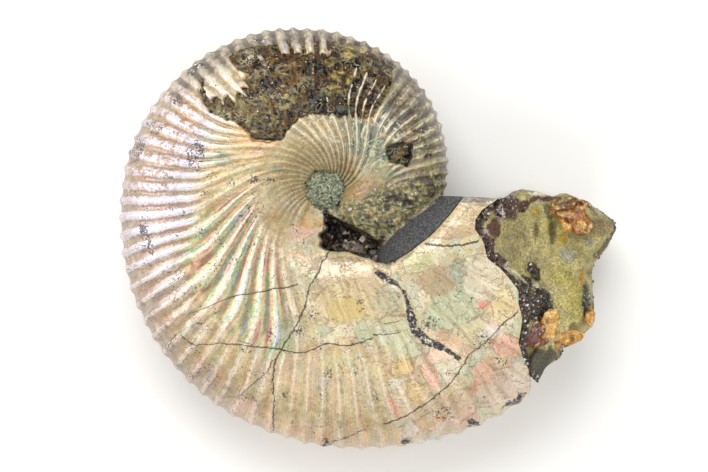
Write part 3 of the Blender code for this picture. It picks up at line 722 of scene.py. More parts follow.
def lay_flakes(nacre, marks, blotch, cloud):
    """Angular flakes on the living chamber, 2 to 5 mm across, each of its own pastel. Returns their edges."""
    node, edges = nacre.node, []
    pastels = ((0.0, "#dcc07c"), (0.16, "#efe4c2"), (0.3, "#bccfa4"), (0.42, "#dcae62"), (0.52, "#f0ab97"),
               (0.62, "#efe7d4"), (0.74, "#cfdaab"), (0.84, "#bba483"), (0.93, "#a9bfa9"))
    for size, strength, edging in ((5.2, 0.62, 0.4), (2.3, 0.42, 0.2)):
        wobble = nacre.mottle(2.0, 2.0, output="Color")
        wobble = node("VectorMath", wobble, (4.2 * MM,) * 3, operation="MULTIPLY")
        moved = node("VectorMath", node("TexCoord"), wobble, operation="ADD")
        scale = 1.0 / (size * MM)
        share = node("SeparateColor", node("TexVoronoi", moved, Scale=scale, output="Color"))
        shown = node("MapRange", node("SUBTRACT", blotch, cloud), -0.2, 0.0)
        nacre.coat(node("MULTIPLY", marks["mosaic"], shown), node("ValToRGB", share, stops=pastels), strength)
        gap = node("TexVoronoi", moved, Scale=scale, feature="DISTANCE_TO_EDGE")
        edge = node("SUBTRACT", 1.0, node("MapRange", gap, 0.0, 0.1 / size))
        edge = node("MULTIPLY", node("MULTIPLY", edge, node("MapRange", blotch, 0.47, 0.56)), marks["mosaic"])
        nacre.coat(edge, "#8a6a42", edging)
        edges.append(edge)
    return node("MAXIMUM", *edges)


def lay_plates(nacre, marks, blotch, cloud, tone, flaked):
    """Larger plates, by their own places in the photograph, with dark rims. Returns all the broken edges."""
    node = nacre.node
    chips = node("TexVoronoi", node("TexCoord"), Scale=1.0 / (1.2 * MM), output="Color")
    margin = node("MULTIPLY_ADD", node("SUBTRACT", node("SeparateColor", chips), 0.5), 3.2, marks["margin"])
    margin = node("MULTIPLY_ADD", node("SUBTRACT", blotch, 0.5), 9.0, margin)
    plate = node("Attribute", attribute_name="plate", output="Color")
    nacre.coat(node("MapRange", margin, -0.4, 0.4), node("Mix", 0.6, plate, tone, blend_type="MULTIPLY"), 0.8)
    within = node("SUBTRACT", 1.0, node("MapRange", margin, 0.3, 1.1))
    rim = node("MULTIPLY", node("MapRange", margin, -1.3, -0.4), within)
    flaked = node("MAXIMUM", flaked, node("MULTIPLY", rim, node("MapRange", cloud, 0.44, 0.52)))
    nacre.coat(flaked, "#7d5f3a", 0.48)
    return flaked


def lay_ribs(nacre, marks, blotch):
    """Pale crests, partly painted highlight, and dusky furrows, partly painted shade, along the ribs, and
    growth lines between them. Returns the ribs' wave.
    """
    node, phase = nacre.node, marks["phase"]
    full = node("COSINE", node("MULTIPLY", phase, 2.0 * math.pi))
    half = node("COSINE", node("MULTIPLY", phase, math.pi))
    wave = node("Mix", marks["split"], half, full, data_type="FLOAT")
    wave = node("MULTIPLY_ADD", node("SUBTRACT", blotch, 0.5), 1.4, wave)
    # On the broad ribs the crest paint, a painted highlight, spreads over most of each rib
    lifted = node("MULTIPLY_ADD", marks["broad"], 0.9, wave)
    for name, height, low, high, strength in (
            ("furrow", wave, -0.3, -0.95, 0.7), ("crest", lifted, 0.55, 0.98, 0.75)):
        paint = node("Attribute", attribute_name=name, output="Color")
        nacre.coat(node("MULTIPLY", node("MapRange", height, low, high), marks["ribbed"]), paint, strength)
    jitter = node("MULTIPLY_ADD", blotch, 7.0, node("MULTIPLY", phase, 38.0))
    growth = node("MULTIPLY_ADD", node("SINE", jitter), 0.5, 0.5)
    growing = node("MULTIPLY_ADD", marks["mosaic"], -0.5, 0.7)
    nacre.shade(growing, growth, ((0.1, 0.86), (0.6, 1.0), (1.0, 1.1)))
    return wave


def lay_weathering(nacre, marks, blotch, wave):
    """Veins, rust, the worn start of the whorl, dirt, painted shade on the left rim, and stains."""
    node, coat, mottle = nacre.node, nacre.coat, nacre.mottle

    # Thin pale veins in the clear shell of the early whorl
    clear = node("MapRange", marks["clear"], 0.1, 0.5)
    coat(node("MULTIPLY", nacre.curls(5.0, 9.0, 0.13), clear), "#c9c8aa", 0.9)

    # Rust at the upper left rim, and the worn olive brown start of the whorl
    rust = node("MapRange", mottle(1.0, 4.0, 0.72), 0.48, 0.56)
    coat(node("MULTIPLY", marks["rust"], rust), "#a07a48", 0.85)
    worn = node("ValToRGB", mottle(2.2, 4.0, 0.7), stops=(
        (0.38, "#2a2216"), (0.45, "#5e4b28"), (0.49, "#7d8061"), (0.53, "#97995f"), (0.57, "#a38146"),
        (0.62, "#5f6a58"), (0.67, "#c8c4ae")))
    crumbs = node("ValToRGB", mottle(0.7, 4.0, 0.75), stops=(
        (0.38, 0.22), (0.45, 0.6), (0.52, 1.0), (0.58, 1.45), (0.66, 2.3)))
    coat(marks["worn"], node("Mix", 0.9, worn, crumbs, blend_type="MULTIPLY"))

    # Dirt on the outer edge at the top, dark between its ribs, painted shade on the outer edge at the left,
    # and brown stains between the early ribs
    dirt = ((0.38, "#4f4637"), (0.48, "#857a63"), (0.56, "#a0937a"), (0.64, "#bfb29a"))
    coat(marks["dirt_and_rim_shade"], node("ValToRGB", blotch, stops=dirt), 0.75)
    gaps = node("MULTIPLY", node("MapRange", wave, 0.1, -0.8), node("MapRange", marks["dirt_and_rim_shade"], 0.62, 0.95))
    coat(gaps, "#3b2f1f", 0.65)
    stain = node("MapRange", mottle(1.5, 4.0, 0.7, 0.8), 0.44, 0.54)
    coat(node("MULTIPLY", stain, marks["stain"]), "#463a20", 0.8)


def lay_specks(nacre, marks, grain):
    """Mineral dust, and manganese specks: fine ones everywhere and clusters in places. Returns the specks."""
    node, mottle = nacre.node, nacre.mottle
    nacre.shade(node("MULTIPLY_ADD", marks["mosaic"], -0.2, 0.5), grain,
                ((0.37, 0.5), (0.45, 0.93), (0.55, 1.04), (0.63, 1.4)))
    patchy = node("MapRange", mottle(2.6, 2.0), 0.45, 0.68)
    denser = node("MULTIPLY_ADD", marks["speckle"], 0.19, node("MULTIPLY", patchy, 0.125))
    limit = node("SUBTRACT", 0.732, denser)
    specks = node("MapRange", node("SUBTRACT", mottle(0.34, 2.0, 0.6), limit), 0.0, 0.035)
    nacre.coat(specks, "#322e2a", 0.9)
    return specks


def nacre_material():
    """Mother-of-pearl, stacked plates of aragonite, polished by cleaning: soft colours and sharp gleams."""
    nacre = Finish("nacre_aragonite_polished", "tint")
    node, coat, mottle = nacre.node, nacre.coat, nacre.mottle
    marks = {name: node("Attribute", attribute_name=name) for name in SHELL_MARKS}
    polar = polar_of(node)
    grain = mottle(0.28, 3.0, 0.75)
    blotch = mottle(1.3, 4.0, 0.65, 0.4)
    cloud = mottle(4.5, 3.0, 0.6)

    # The tint of each region with warm and grey clouds, 1 to 4 mm across
    clouded = node("MULTIPLY_ADD", marks["mosaic"], -0.25, 0.35)
    coat(node("MapRange", cloud, 0.52, 0.62), "#c2975a", clouded)
    coat(node("MapRange", cloud, 0.48, 0.38), "#a9aa8c", clouded)
    nacre.shade(node("MULTIPLY_ADD", marks["mosaic"], -0.35, 0.75), blotch,
                ((0.36, 0.66), (0.45, 0.9), (0.54, 1.03), (0.64, 1.3)))

    honey = lay_streaks(nacre, marks, polar[1])
    flaked = lay_flakes(nacre, marks, blotch, cloud)
    flaked = lay_plates(nacre, marks, blotch, cloud, honey, flaked)
    wave = lay_ribs(nacre, marks, blotch)
    lay_weathering(nacre, marks, blotch, wave)
    specks = lay_specks(nacre, marks, grain)

    # Hairline cracks, by their own courses in the photograph
    lines = reduce(partial(node, "MAXIMUM"), [crack(nacre, polar, *course) for course in CRACKS])
    lines = node("MULTIPLY", node("MULTIPLY", lines, marks["face"]), node("MapRange", grain, 0.3, 0.46))
    coat(lines, "#241c14", 0.92)

    # Broken places: soot black with pale crumbs
    dark = node("MULTIPLY_ADD", node("SUBTRACT", blotch, 0.5), 1.6, marks["soot"])
    dark = node("MapRange", dark, 0.42, 0.55)
    crumbs = ((0.4, "#15120d"), (0.51, "#332d22"), (0.57, "#7b745b"), (0.62, "#ddd7c2"))
    coat(dark, node("ValToRGB", mottle(0.6, 3.0, 0.7), stops=crumbs))

    dull = reduce(partial(node, "MAXIMUM"), [marks["worn"], specks, dark, marks["dirt_and_rim_shade"]])
    rough = node("MULTIPLY_ADD", dull, 0.4, node("MULTIPLY_ADD", blotch, 0.5, 0.02))
    gleam = node("MULTIPLY_ADD", dull, -0.15, 0.15, use_clamp=True)
    relief = node("MULTIPLY_ADD", grain, 0.25, mottle(0.7, 2.0))
    relief = node("SUBTRACT", relief, node("MULTIPLY", lines, 1.2))
    relief = node("SUBTRACT", relief, node("MULTIPLY", flaked, 0.7))
    return nacre.done({"Roughness": rough, "Metallic": gleam, "IOR": 1.72, "Specular Tint": linear("#f3e6ff"),
                       "Coat Weight": 0.25, "Coat Roughness": 0.1}, relief, 0.7, 0.18)


def simple_rock(name, tones, size, roughness, depth, veins=None):
    """A granular rock in three tones, with thin veins if they have a colour."""
    rock = Finish(name)
    grains = rock.mottle(size, 5.0, 0.65)
    rock.colour = rock.node("ValToRGB", grains, stops=list(zip((0.35, 0.5, 0.66), tones)))
    if veins:
        rock.coat(rock.curls(2.0, 4.5, 0.16), veins, 0.8)
    return rock.done({"Roughness": roughness}, grains, 0.8, depth)


class FossilSizes(bpy.types.PropertyGroup):
    venter_rib: bpy.props.FloatProperty(
        name="Venter rib height", description="How far the ribs stand up on the outer edge",
        default=0.00042, min=0.0, max=0.001, precision=5, unit="LENGTH")
    flank_rib_scale: bpy.props.FloatProperty(
        name="Flank rib scale",
        description="Height of the ribs on the flank, as a share of the specimen's own",
        default=1.0, min=0.0, max=2.0, subtype="FACTOR")
    window_depth: bpy.props.FloatProperty(
        name="Shell thickness", description="How far the surface steps down where the shell has flaked off",
        default=0.00095, min=0.0, max=0.002, precision=5, unit="LENGTH")


class FossilColours(bpy.types.PropertyGroup):
    nacre: bpy.props.FloatVectorProperty(
        name="Nacre", description="Ground colour of the mother-of-pearl", size=4, subtype="COLOR",
        default=linear("#c4ac7e"))
    infill: bpy.props.FloatVectorProperty(
        name="Chamber infill", description="Ground colour of the calcite in the chambers", size=4,
        subtype="COLOR", default=linear("#382512"))
    siltstone: bpy.props.FloatVectorProperty(
        name="Siltstone", description="Ground colour of the rock in the mouth", size=4, subtype="COLOR",
        default=linear("#ada26c"))
    floor: bpy.props.FloatVectorProperty(
        name="Table", description="Colour of the table", size=4, subtype="COLOR", default=linear("#f7f6f4"))


def coil_grid(columns, rows):
    """A bmesh grid whose X is the column and whose Y is the row."""
    bm = bmesh.new()
    bmesh.ops.create_grid(bm, x_segments=columns, y_segments=rows, size=1.0)
    for vert in bm.verts:
        vert.co = ((vert.co.x + 1.0) / 2.0 * columns, (vert.co.y + 1.0) / 2.0 * rows, 0.0)
    return bm


def read_grid(bm, columns):
    """The share of the way along the whorl, and the mesh row, of each vertex of a flat grid."""
    co = np.array([vert.co[:2] for vert in bm.verts])
    return co[:, 0] / columns, co[:, 1]


def zoned(tint, *zones):
    """The tint of each point, with zones of other colours on it as (hex code, weight at each point)."""
    for code, weight in zones:
        tint = mix(tint, np.array(linear(code)), np.clip(weight, 0.0, 1.0)[:, None])
    return tint


def patched(tint, points, patches, ragged, visible=1.0):
    """The tint of each point, with patches of other colours on it as (hex code, strength, ellipses)."""
    return zoned(tint, *[(code, strength * spots(points, ellipses, ragged) * visible)
                         for code, strength, ellipses in patches])


def early_furrows(turn, reach):
    """1 where the ribs of the early whorl have dark furrows."""
    return span(40.0, 56.0, 128.0, 146.0, turn) * (1.0 - ease(0.6, 0.7, reach))


def shell_tints(coil, points, ground):
    """The colours of the nacre, its plates, rib crests and furrows at each point, and the plates' margin."""
    turn, reach, view = coil.sheet_turn, coil.reach, np.mod(coil.angle, 360.0)
    ragged = swell(points, 2.2, 51.0) + 0.5 * swell(points, 0.7, 52.0)
    right = 1.0 - ease(56.0, 66.0, view + 8.0 * ragged)
    left = span(132.0, 160.0, 200.0, 232.0, view) * ease(0.58, 0.7, reach)
    bold = span(192.0, 204.0, 256.0, 268.0, view) * (1.0 - ease(0.7, 0.8, reach))
    low = span(226.0, 240.0, 300.0, 312.0, view) * ease(0.68, 0.76, reach)
    honey = span(128.0, 136.0, 146.0, 160.0, view + 6.0 * ragged)
    tint = zoned(
        np.tile(ground, (len(points), 1)),
        ("#a0966a", right),
        ("#a38d5a", (1.0 - ease(0.25, 0.5, reach)) * (turn < 62.0)),
        ("#666a50", span(22.0, 38.0, 72.0, 84.0, view) * bump(0.48, 0.2, reach)),
        ("#bdaa78", span(84.0, 96.0, 185.0, 215.0, view) * (1.0 - ease(0.5, 0.66, reach))),
        ("#c9a365", honey * span(0.3, 0.4, 0.6, 0.7, reach)),
        ("#bfaea4", left),
        ("#bba980", bold),
        ("#c8b184", low),
        ("#9c8f72", span(40.0, 60.0, 136.0, 150.0, view) * ease(0.86, 0.93, reach)),
        ("#d0b796", 0.8 * span(284.0, 292.0, 336.0, 346.0, view) * ease(0.5, 0.6, reach)),
        # Painted shade: darker on the outer edge at the left
        ("#a98a6c", span(150.0, 160.0, 240.0, 262.0, view) * ease(0.84, 0.92, reach)),
        ("#d0ad7a", span(240.0, 262.0, 296.0, 310.0, view) * ease(0.9, 0.96, reach)))
    tint = patched(tint, points, PATCHES, 0.6 * ragged, coil.side > 0)
    margin, plate = np.full(len(points), NO_PLATE), tint.copy()
    for *ellipse, code in PLATES:
        inward = ellipse[3] * spot_depth(points, [ellipse], 0.3 * ragged)
        nearer = inward > np.minimum(margin, 0.0)
        margin = np.where(nearer, inward, margin)
        plate[nearer] = PLATE_SHADE * np.array(linear(code))
    margin = np.where(coil.side > 0, margin, NO_PLATE)
    # Rib crests: pale, and on the bold and left ribs near white and lilac white, as painted highlight
    crest = zoned(np.tile(linear("#eadfc6"), (len(points), 1)),
                  ("#ddd6b2", right), ("#e9e2f2", left), ("#f3f2dc", bold), ("#ead6c4", 0.8 * low))
    # Rib furrows: brown, darkened in part as painted shade between the ribs
    furrow = zoned(np.tile(linear("#a08c62"), (len(points), 1)), ("#86784e", early_furrows(turn, reach)),
                   ("#33291a", right), ("#9a8270", left), ("#7d7050", bold), ("#ab9a6c", low))
    return {"tint": tint, "crest": crest, "furrow": furrow, "plate": plate}, margin


def shell_damage(coil, points, patchy):
    """Millimetres inside the window and the pit, and 1 in the open fracture and at the whorl's worn start."""
    turn = coil.sheet_turn
    across, length = trench_offset(turn, coil.radius)
    wide = 0.14 + 0.4 * span(21.5, 23.5, 30.0, 33.0, coil.radius) + 0.3 * bump(17.2, 1.6, coil.radius)
    trench = length * (1.0 - ease(-0.1, 0.35, np.abs(across) - wide + 0.3 * patchy)) * (coil.side > 0)
    worn = ease(-90.0, -80.0, turn) * (1.0 - ease(0.0, 22.0, turn + 7.0 * swell(points, 3.0, 9.0)))
    return window_edge(coil, points), pit_edge(points), trench, worn


def shell_relief(coil, points, sizes, ribs, damage):
    """How far the surface stands out of the smooth coil, in millimetres."""
    window, pit, trench, worn = damage
    upper = coil.side > 0
    relief = ribs * (1.0 - ease(-0.3, 0.1, pit) * upper) + knob_relief(points) * upper
    relief -= sizes.window_depth / MM * ease(-0.1, 0.1, window) * upper
    relief -= PIT_DEPTH * ease(-0.1, 0.1, pit) * upper
    relief -= FRACTURE_DEPTH * trench
    flat_ends = span(0.0, 12.0, 340.0, 355.0, coil.turn)
    relief += (0.15 * swell(points, 7.0) * flat_ends + 0.07 * swell(points, 2.4, 5.0)
               + 0.04 * swell(points, 1.1, 6.0))
    relief += (0.02 * swell(points, 0.55, 7.0)
               + worn * (0.4 * swell(points, 1.6, 13.0) + 0.16 * swell(points, 0.7, 14.0)))
    return relief


def shell_soot(coil, points, patchy, damage):
    """How black each point is: in broken places, on the knobs and on the walls of the hollow."""
    window, pit, trench, _ = damage
    turn, reach, upper = coil.sheet_turn, coil.reach, coil.side > 0
    low = mix(1.0, bump(3.2, 2.2, coil.height), ease(0.84, 0.9, reach))
    walls = (1.0 - ease(-51.0, -45.0, turn + 3.0 * patchy)) * (turn < 0.0)
    walls *= ease(262.0, 267.0, np.mod(coil.angle, 360.0))
    return np.maximum.reduce([
        trench,
        1.4 * ease(-0.1, 0.15, pit) * upper,
        1.4 * ease(0.25, 0.4, window) * upper,
        0.9 * spots(points, SOOT, patchy) * low * upper,
        1.3 * knob_relief(points) * upper,
        1.4 * ease(355.0, 356.0, turn + 0.4 * patchy) * ease(0.5, 0.7, reach),
        1.3 * walls * ease(3.0, 3.6, coil.radius)])


def shell_marks(coil, points, patchy):
    """The other numbers that the nacre reads, at each point."""
    turn, reach, view = coil.sheet_turn, coil.reach, np.mod(coil.angle, 360.0)
    long_ribs, short_ribs = (ease(0.06, 0.3, along(table, turn)) for table in (INNER_RIBS, OUTER_RIBS))
    split = rib_split(turn, reach)
    ribbed = mix(long_ribs, short_ribs, split) * mix(1.0, ease(0.26, 0.42, reach), ease(150.0, 200.0, turn))
    ribbed *= 1.0 - 0.45 * ease(246.0, 262.0, turn)
    # Crest and furrow paint on short ribs of the slope round the umbilicus: painted highlight and shade
    innermost = 0.8 * span(80.0, 100.0, 225.0, 250.0, view) * ease(2.9, 3.6, coil.radius)
    innermost *= 1.0 - ease(5.5, 9.0, coil.radius + 1.2 * patchy)
    top_dirt = ease(0.84, 0.93, reach + 0.03 * patchy) * span(30.0, 62.0, 138.0, 165.0, view)
    # Painted shade: the outer edge at the left, darker and duller, like the top's mottling
    left_rim_shade = 0.6 * ease(0.88, 0.96, reach + 0.04 * patchy) * span(138.0, 150.0, 225.0, 262.0, view)
    outer_strip = ease(0.66, 0.76, reach) * (1.0 - ease(284.0, 292.0, turn))
    specked = 0.25 * span(150.0, 200.0, 240.0, 300.0, view)
    return {
        "phase": coil.phase, "split": split,
        "ribbed": np.maximum.reduce([ribbed, innermost, early_furrows(turn, reach)]),
        "broad": broad_ribs(turn) * ease(0.5, 0.62, reach),
        "mosaic": ease(256.0, LIVING_START, turn) * (1.0 - outer_strip),
        "fire": span(190.0, 200.0, 252.0, 262.0, turn) * span(0.3, 0.4, 0.66, 0.76, reach),
        "rust": span(140.0, 148.0, 176.0, 188.0, view) * ease(0.66, 0.8, reach),
        "speckle": np.maximum(specked, spots(points, SPECKLES, 0.5 * patchy)),
        "face": ease(-3.0, 0.0, coil.side * coil.height),
        "clear": span(10.0, 25.0, 88.0, 112.0, view) * bump(0.5, 0.2, reach) * (turn < 130.0),
        "stain": span(14.0, 22.0, 50.0, 62.0, view) * ease(0.62, 0.75, reach) * (turn < 130.0),
        "dirt_and_rim_shade": np.maximum(top_dirt, left_rim_shade)}


class FOSSIL_OT_nacre_shell(bpy.types.Operator):
    """Makes the coil's pearly surface with its ribs, cracks and broken edges"""

    bl_idname = "fossil.nacre_shell"
    bl_label = "Nacre shell"

    def execute(self, context):
        sizes, colours = context.scene.fossil_sizes, context.scene.fossil_colours
        columns, rows = RIB_COUNT * COLUMNS_PER_RIB, UNDER_MARKS[-1]
        bm = coil_grid(columns, rows)
        coil = CoilMesh(*read_grid(bm, columns))
        window, pit = window_edge(coil, coil.smooth), pit_edge(coil.smooth)
        close = ((np.abs(window) < 0.45) | (np.abs(pit) < 0.45)) & (coil.side > 0)
        bm.verts.ensure_lookup_table()
        fine = [e for e in bm.edges if close[e.verts[0].index] or close[e.verts[1].index]]
        bmesh.ops.subdivide_edges(bm, edges=fine, cuts=1, use_grid_fill=True)

        coil = CoilMesh(*read_grid(bm, columns))
        points = coil.smooth
        patchy = swell(points, 1.5, 3.0)
        damage = shell_damage(coil, points, patchy)
        set_points(bm.verts, coil.shift(shell_relief(coil, points, sizes, rib_relief(coil, sizes), damage)))
        tints, margin = shell_tints(coil, points, colours.nacre)
        marks = {**shell_marks(coil, points, patchy), "soot": shell_soot(coil, points, patchy, damage),
                 "worn": damage[-1], "margin": margin}
        for name in SHELL_MARKS:
            set_layer(bm.verts, bm.verts.layers.float.new(name), marks[name])
        for name, values in tints.items():
            set_layer(bm.verts, bm.verts.layers.float_color.new(name), values)

        bmesh.ops.remove_doubles(bm, verts=bm.verts, dist=0.001 * MM)
        rim = [e for e in bm.edges if e.is_boundary]
        for face in bmesh.ops.holes_fill(bm, edges=rim, sides=0)["faces"]:
            face.material_index = 1
        mesh = finish_mesh(bm, "nacre_shell")
        rock = simple_rock("shale_broken", ("#3c382e", "#6a6350", "#8f8770"), 1.2, 0.8, 0.3)
        piece = add_piece("nacre_shell", mesh, [nacre_material(), rock])
        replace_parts(piece, "ammonite_shell")
        return {"FINISHED"}


class FOSSIL_OT_chamber_infill(bpy.types.Operator):
    """Makes the dark filling of the chambers, which shows in the flaked window and in the chipped hole"""

    bl_idname = "fossil.chamber_infill"
    bl_label = "Chamber infill"

    def execute(self, context):
        ground = context.scene.fossil_colours.infill
        bm = bmesh.new()
        layers = bm.verts.layers.float.new("suture"), bm.verts.layers.float_color.new("tint")
        self.patch(bm, layers, ground, (53.0, 152.0), (0.3, 0.975), 320, 130, -0.6)
        self.patch(bm, layers, ground, (14.0, 38.0), (0.42, 0.86), 50, 40, -1.3)
        mesh = finish_mesh(bm, "chamber_infill")
        add_piece("chamber_infill", mesh, [infill_material()])
        return {"FINISHED"}

    @staticmethod
    def patch(bm, layers, ground, turns, reaches, columns, rows, depth):
        """Adds a sheet under the shell, between two turns and two reaches, with frilled suture ridges."""
        first_vert, first_face = len(bm.verts), len(bm.faces)
        bmesh.ops.create_grid(bm, x_segments=columns, y_segments=rows, size=1.0)
        bm.verts.ensure_lookup_table()
        bm.faces.ensure_lookup_table()
        verts, faces = bm.verts[first_vert:], bm.faces[first_face:]
        lengthwise, crosswise, _ = shares(verts)
        turn, reach = mix(*turns, lengthwise), mix(*reaches, crosswise)
        phase = np.interp(turn, rib_turn(np.linspace(0.0, 1.0, 2000)), np.linspace(0.0, RIB_COUNT, 2000))
        radius = reach * venter_radius(turn)
        height = whorl_height(turn, radius, np.ones_like(turn))
        smooth = place(column_angle(turn, radius), radius, height)
        bends = swell(smooth, 0.8, 61.0), swell(smooth, 0.8, 62.0), 0.0 * turn
        bent = smooth + 0.9 * np.stack(bends, axis=-1)
        wave = (3.2 * swell(bent, 2.1, 63.0)).reshape(rows + 1, columns + 1)
        sheet = smooth.reshape(rows + 1, columns + 1, 3)
        slopes = [np.gradient(wave, axis=way) / np.linalg.norm(np.gradient(sheet, axis=way), axis=2)
                  for way in (1, 0)]
        off_line = (np.abs(wave - np.round(wave)) / (np.hypot(*slopes) + 0.25)).ravel()
        suture = (1.0 - ease(0.08, 0.2, off_line)) * ease(-0.35, 0.1, swell(smooth, 2.6, 64.0))
        ribs = 0.2 * (0.5 + 0.5 * np.cos(2.0 * math.pi * phase)) * ease(0.55, 0.7, reach)
        relief = depth + ribs + 0.14 * swell(smooth, 1.7, 31.0) + 0.09 * swell(smooth, 0.6, 32.0)
        relief += 0.1 * suture
        tilt = tilt_of(reach)
        set_points(verts, place(column_angle(turn, radius), radius + relief * np.sin(tilt),
                                height + relief * np.cos(tilt)))
        ragged = swell(smooth, 1.4, 53.0) + 0.6 * swell(smooth, 0.5, 54.0)
        tint = patched(np.tile(ground, (len(verts), 1)), smooth, INFILL_PATCHES, ragged)
        for layer, values in zip(layers, (suture, tint)):
            set_layer(verts, layer, values)
        bmesh.ops.solidify(bm, geom=faces, thickness=0.8 * MM)


def infill_material():
    """Calcite that filled the gas chambers: brown, glossy, with frilled suture lines and bright specks."""
    infill = Finish("chamber_calcite_stained", "tint")
    node, coat, mottle = infill.node, infill.coat, infill.mottle
    coarse = mottle(1.8, 3.0, 0.6, 1.2)
    infill.shade(0.95, coarse, (
        (0.38, "#1c1612"), (0.48, "#8a7a68"), (0.55, 0.9), (0.62, (1.4, 1.3, 1.0, 1.0)),
        (0.69, (2.2, 2.1, 1.8, 1.0))))
    infill.shade(0.8, mottle(0.4, 3.0, 0.7), ((0.37, 0.55), (0.46, 0.9), (0.55, 1.1), (0.63, 1.4)))
    thin = node("MULTIPLY", infill.curls(2.6, 4.6, 0.11), node("MapRange", mottle(2.4, 2.0), 0.38, 0.46))
    suture = node("Attribute", attribute_name="suture")
    line = node("MAXIMUM", node("MULTIPLY", suture, 0.5), thin)
    chalk = ((0.42, "#7a5828"), (0.5, "#9c884e"), (0.58, "#b8ad84"))
    coat(line, node("ValToRGB", mottle(3.0, 2.0), stops=chalk), 0.75)
    sparks = node("MapRange", mottle(0.45, 2.0), 0.67, 0.71)
    coat(node("MULTIPLY", sparks, node("MapRange", coarse, 0.46, 0.56)), "#ece8de", 0.9)
    rough = node("MULTIPLY_ADD", coarse, 0.4, 0.02)
    relief = node("MULTIPLY_ADD", line, 0.4, mottle(0.8, 2.0))
    return infill.done({"Roughness": rough, "Specular IOR Level": 0.3, "IOR": 1.5}, relief, 0.6, 0.2)


def crystal_material(name, stops, roughness):
    """Small crystals, each of its own tone, with flat glinting faces."""
    crystals = Finish(name)
    own_tone = crystals.node("Attribute", attribute_name="shade")
    crystals.colour = crystals.node("ValToRGB", own_tone, stops=stops)
    crystals.shade(0.8, crystals.mottle(0.3, 3.0, 0.7), ((0.3, 0.55), (0.6, 1.15)))
    return crystals.done({"Roughness": roughness, "IOR": 1.6})


def add_crystals(bm, places, sizes, shades, rng):
    """Adds a small rhomb at each place, in millimetres, with its own size, turn and shade."""
    layer = bm.verts.layers.float.get("shade") or bm.verts.layers.float.new("shade")
    for point, size, shade in zip(places.tolist(), sizes.tolist(), shades.tolist()):
        lean = Euler(rng.uniform(0.0, 2.0 * math.pi, 3).tolist()).to_matrix().to_4x4()
        shape = Matrix.Diagonal((*(size * rng.uniform(0.5, 1.3, 3) * MM).tolist(), 1.0))
        matrix = Matrix.Translation(Vector(point) * MM) @ lean @ shape
        for vert in bmesh.ops.create_cube(bm, size=1.0, matrix=matrix)["verts"]:
            vert[layer] = shade


class FOSSIL_OT_hollow_crystals(bpy.types.Operator):
    """Makes the crust of brown and grey crystals in the hollow between the coil and the living chamber"""

    bl_idname = "fossil.hollow_crystals"
    bl_label = "Hollow crystals"

    def execute(self, context):
        rng = np.random.default_rng(7)
        bm = bmesh.new()
        bmesh.ops.create_grid(bm, x_segments=90, y_segments=60, size=1.0)
        lengthwise, crosswise, _ = shares(bm.verts)
        turn = mix(269.0, 315.0, lengthwise)
        outer = seam_radii(turn)[1]
        radius = mix(3.2, outer + 0.15, crosswise)
        wall = ease(0.8, 1.0, crosswise)
        low = 2.2 + 1.6 * (1.0 - ease(0.0, 0.35, crosswise)) + 2.2 * (1.0 - ease(0.0, 0.12, lengthwise))
        low = low + 1.2 * ease(0.75, 1.0, lengthwise) * (1.0 - wall)
        high = whorl_height(turn, outer, np.ones_like(turn)) - 1.0
        flat = place(turn, radius, 0.0 * turn)
        height = mix(low, high, wall**1.5) + 0.6 * swell(flat, 2.2, 71.0) + 0.55 * cell_gap(flat, 1.0, 72.0)
        points = place(turn, radius, np.minimum(height, high) + 0.18 * swell(flat, 0.5, 73.0))
        ledge = spots(points, HOLLOW_LEDGE, 0.4 * swell(flat, 1.0, 74.0))
        shade = 0.12 + 0.5 * ledge + 0.16 * swell(flat, 1.1, 75.0)
        shade = np.maximum(shade, 0.9 * spots(points, HOLLOW_PALE, 0.3 * swell(flat, 1.0)))
        set_layer(bm.verts, bm.verts.layers.float.new("shade"), shade)
        set_points(bm.verts, points)
        chosen = rng.choice(len(points), HOLLOW_CRYSTALS, replace=False)
        bmesh.ops.solidify(bm, geom=bm.faces[:], thickness=0.6 * MM)
        tones = np.clip(shade[chosen] + rng.normal(0.0, 0.22, HOLLOW_CRYSTALS), 0.0, 1.0)
        add_crystals(bm, points[chosen], rng.uniform(0.25, 0.8, HOLLOW_CRYSTALS), tones, rng)
        mesh = finish_mesh(bm, "hollow_crystals", sharp=25.0)
        stops = ((0.0, "#100c07"), (0.25, "#3a2a1b"), (0.45, "#6b5440"), (0.6, "#837b70"), (0.8, "#b3a180"),
                 (1.0, "#e8e2d4"))
        add_piece("hollow_crystals", mesh, [crystal_material("siderite_crystals", stops, 0.3)])
        return {"FINISHED"}


def divided_block(lengthwise, crosswise, upright):
    """A cube from -1 to 1 with its edges cut into that many parts along X, Y and Z."""
    bm = bmesh.new()
    bmesh.ops.create_cube(bm, size=2.0)
    for axis, parts in enumerate((lengthwise, crosswise, upright)):
        for cut in range(1, parts):
            normal = Vector((0.0, 0.0, 0.0))
            normal[axis] = 1.0
            everything = bm.verts[:] + bm.edges[:] + bm.faces[:]
            level = normal * (2.0 * cut / parts - 1.0)
            bmesh.ops.bisect_plane(bm, geom=everything, plane_co=level, plane_no=normal)
    return bm


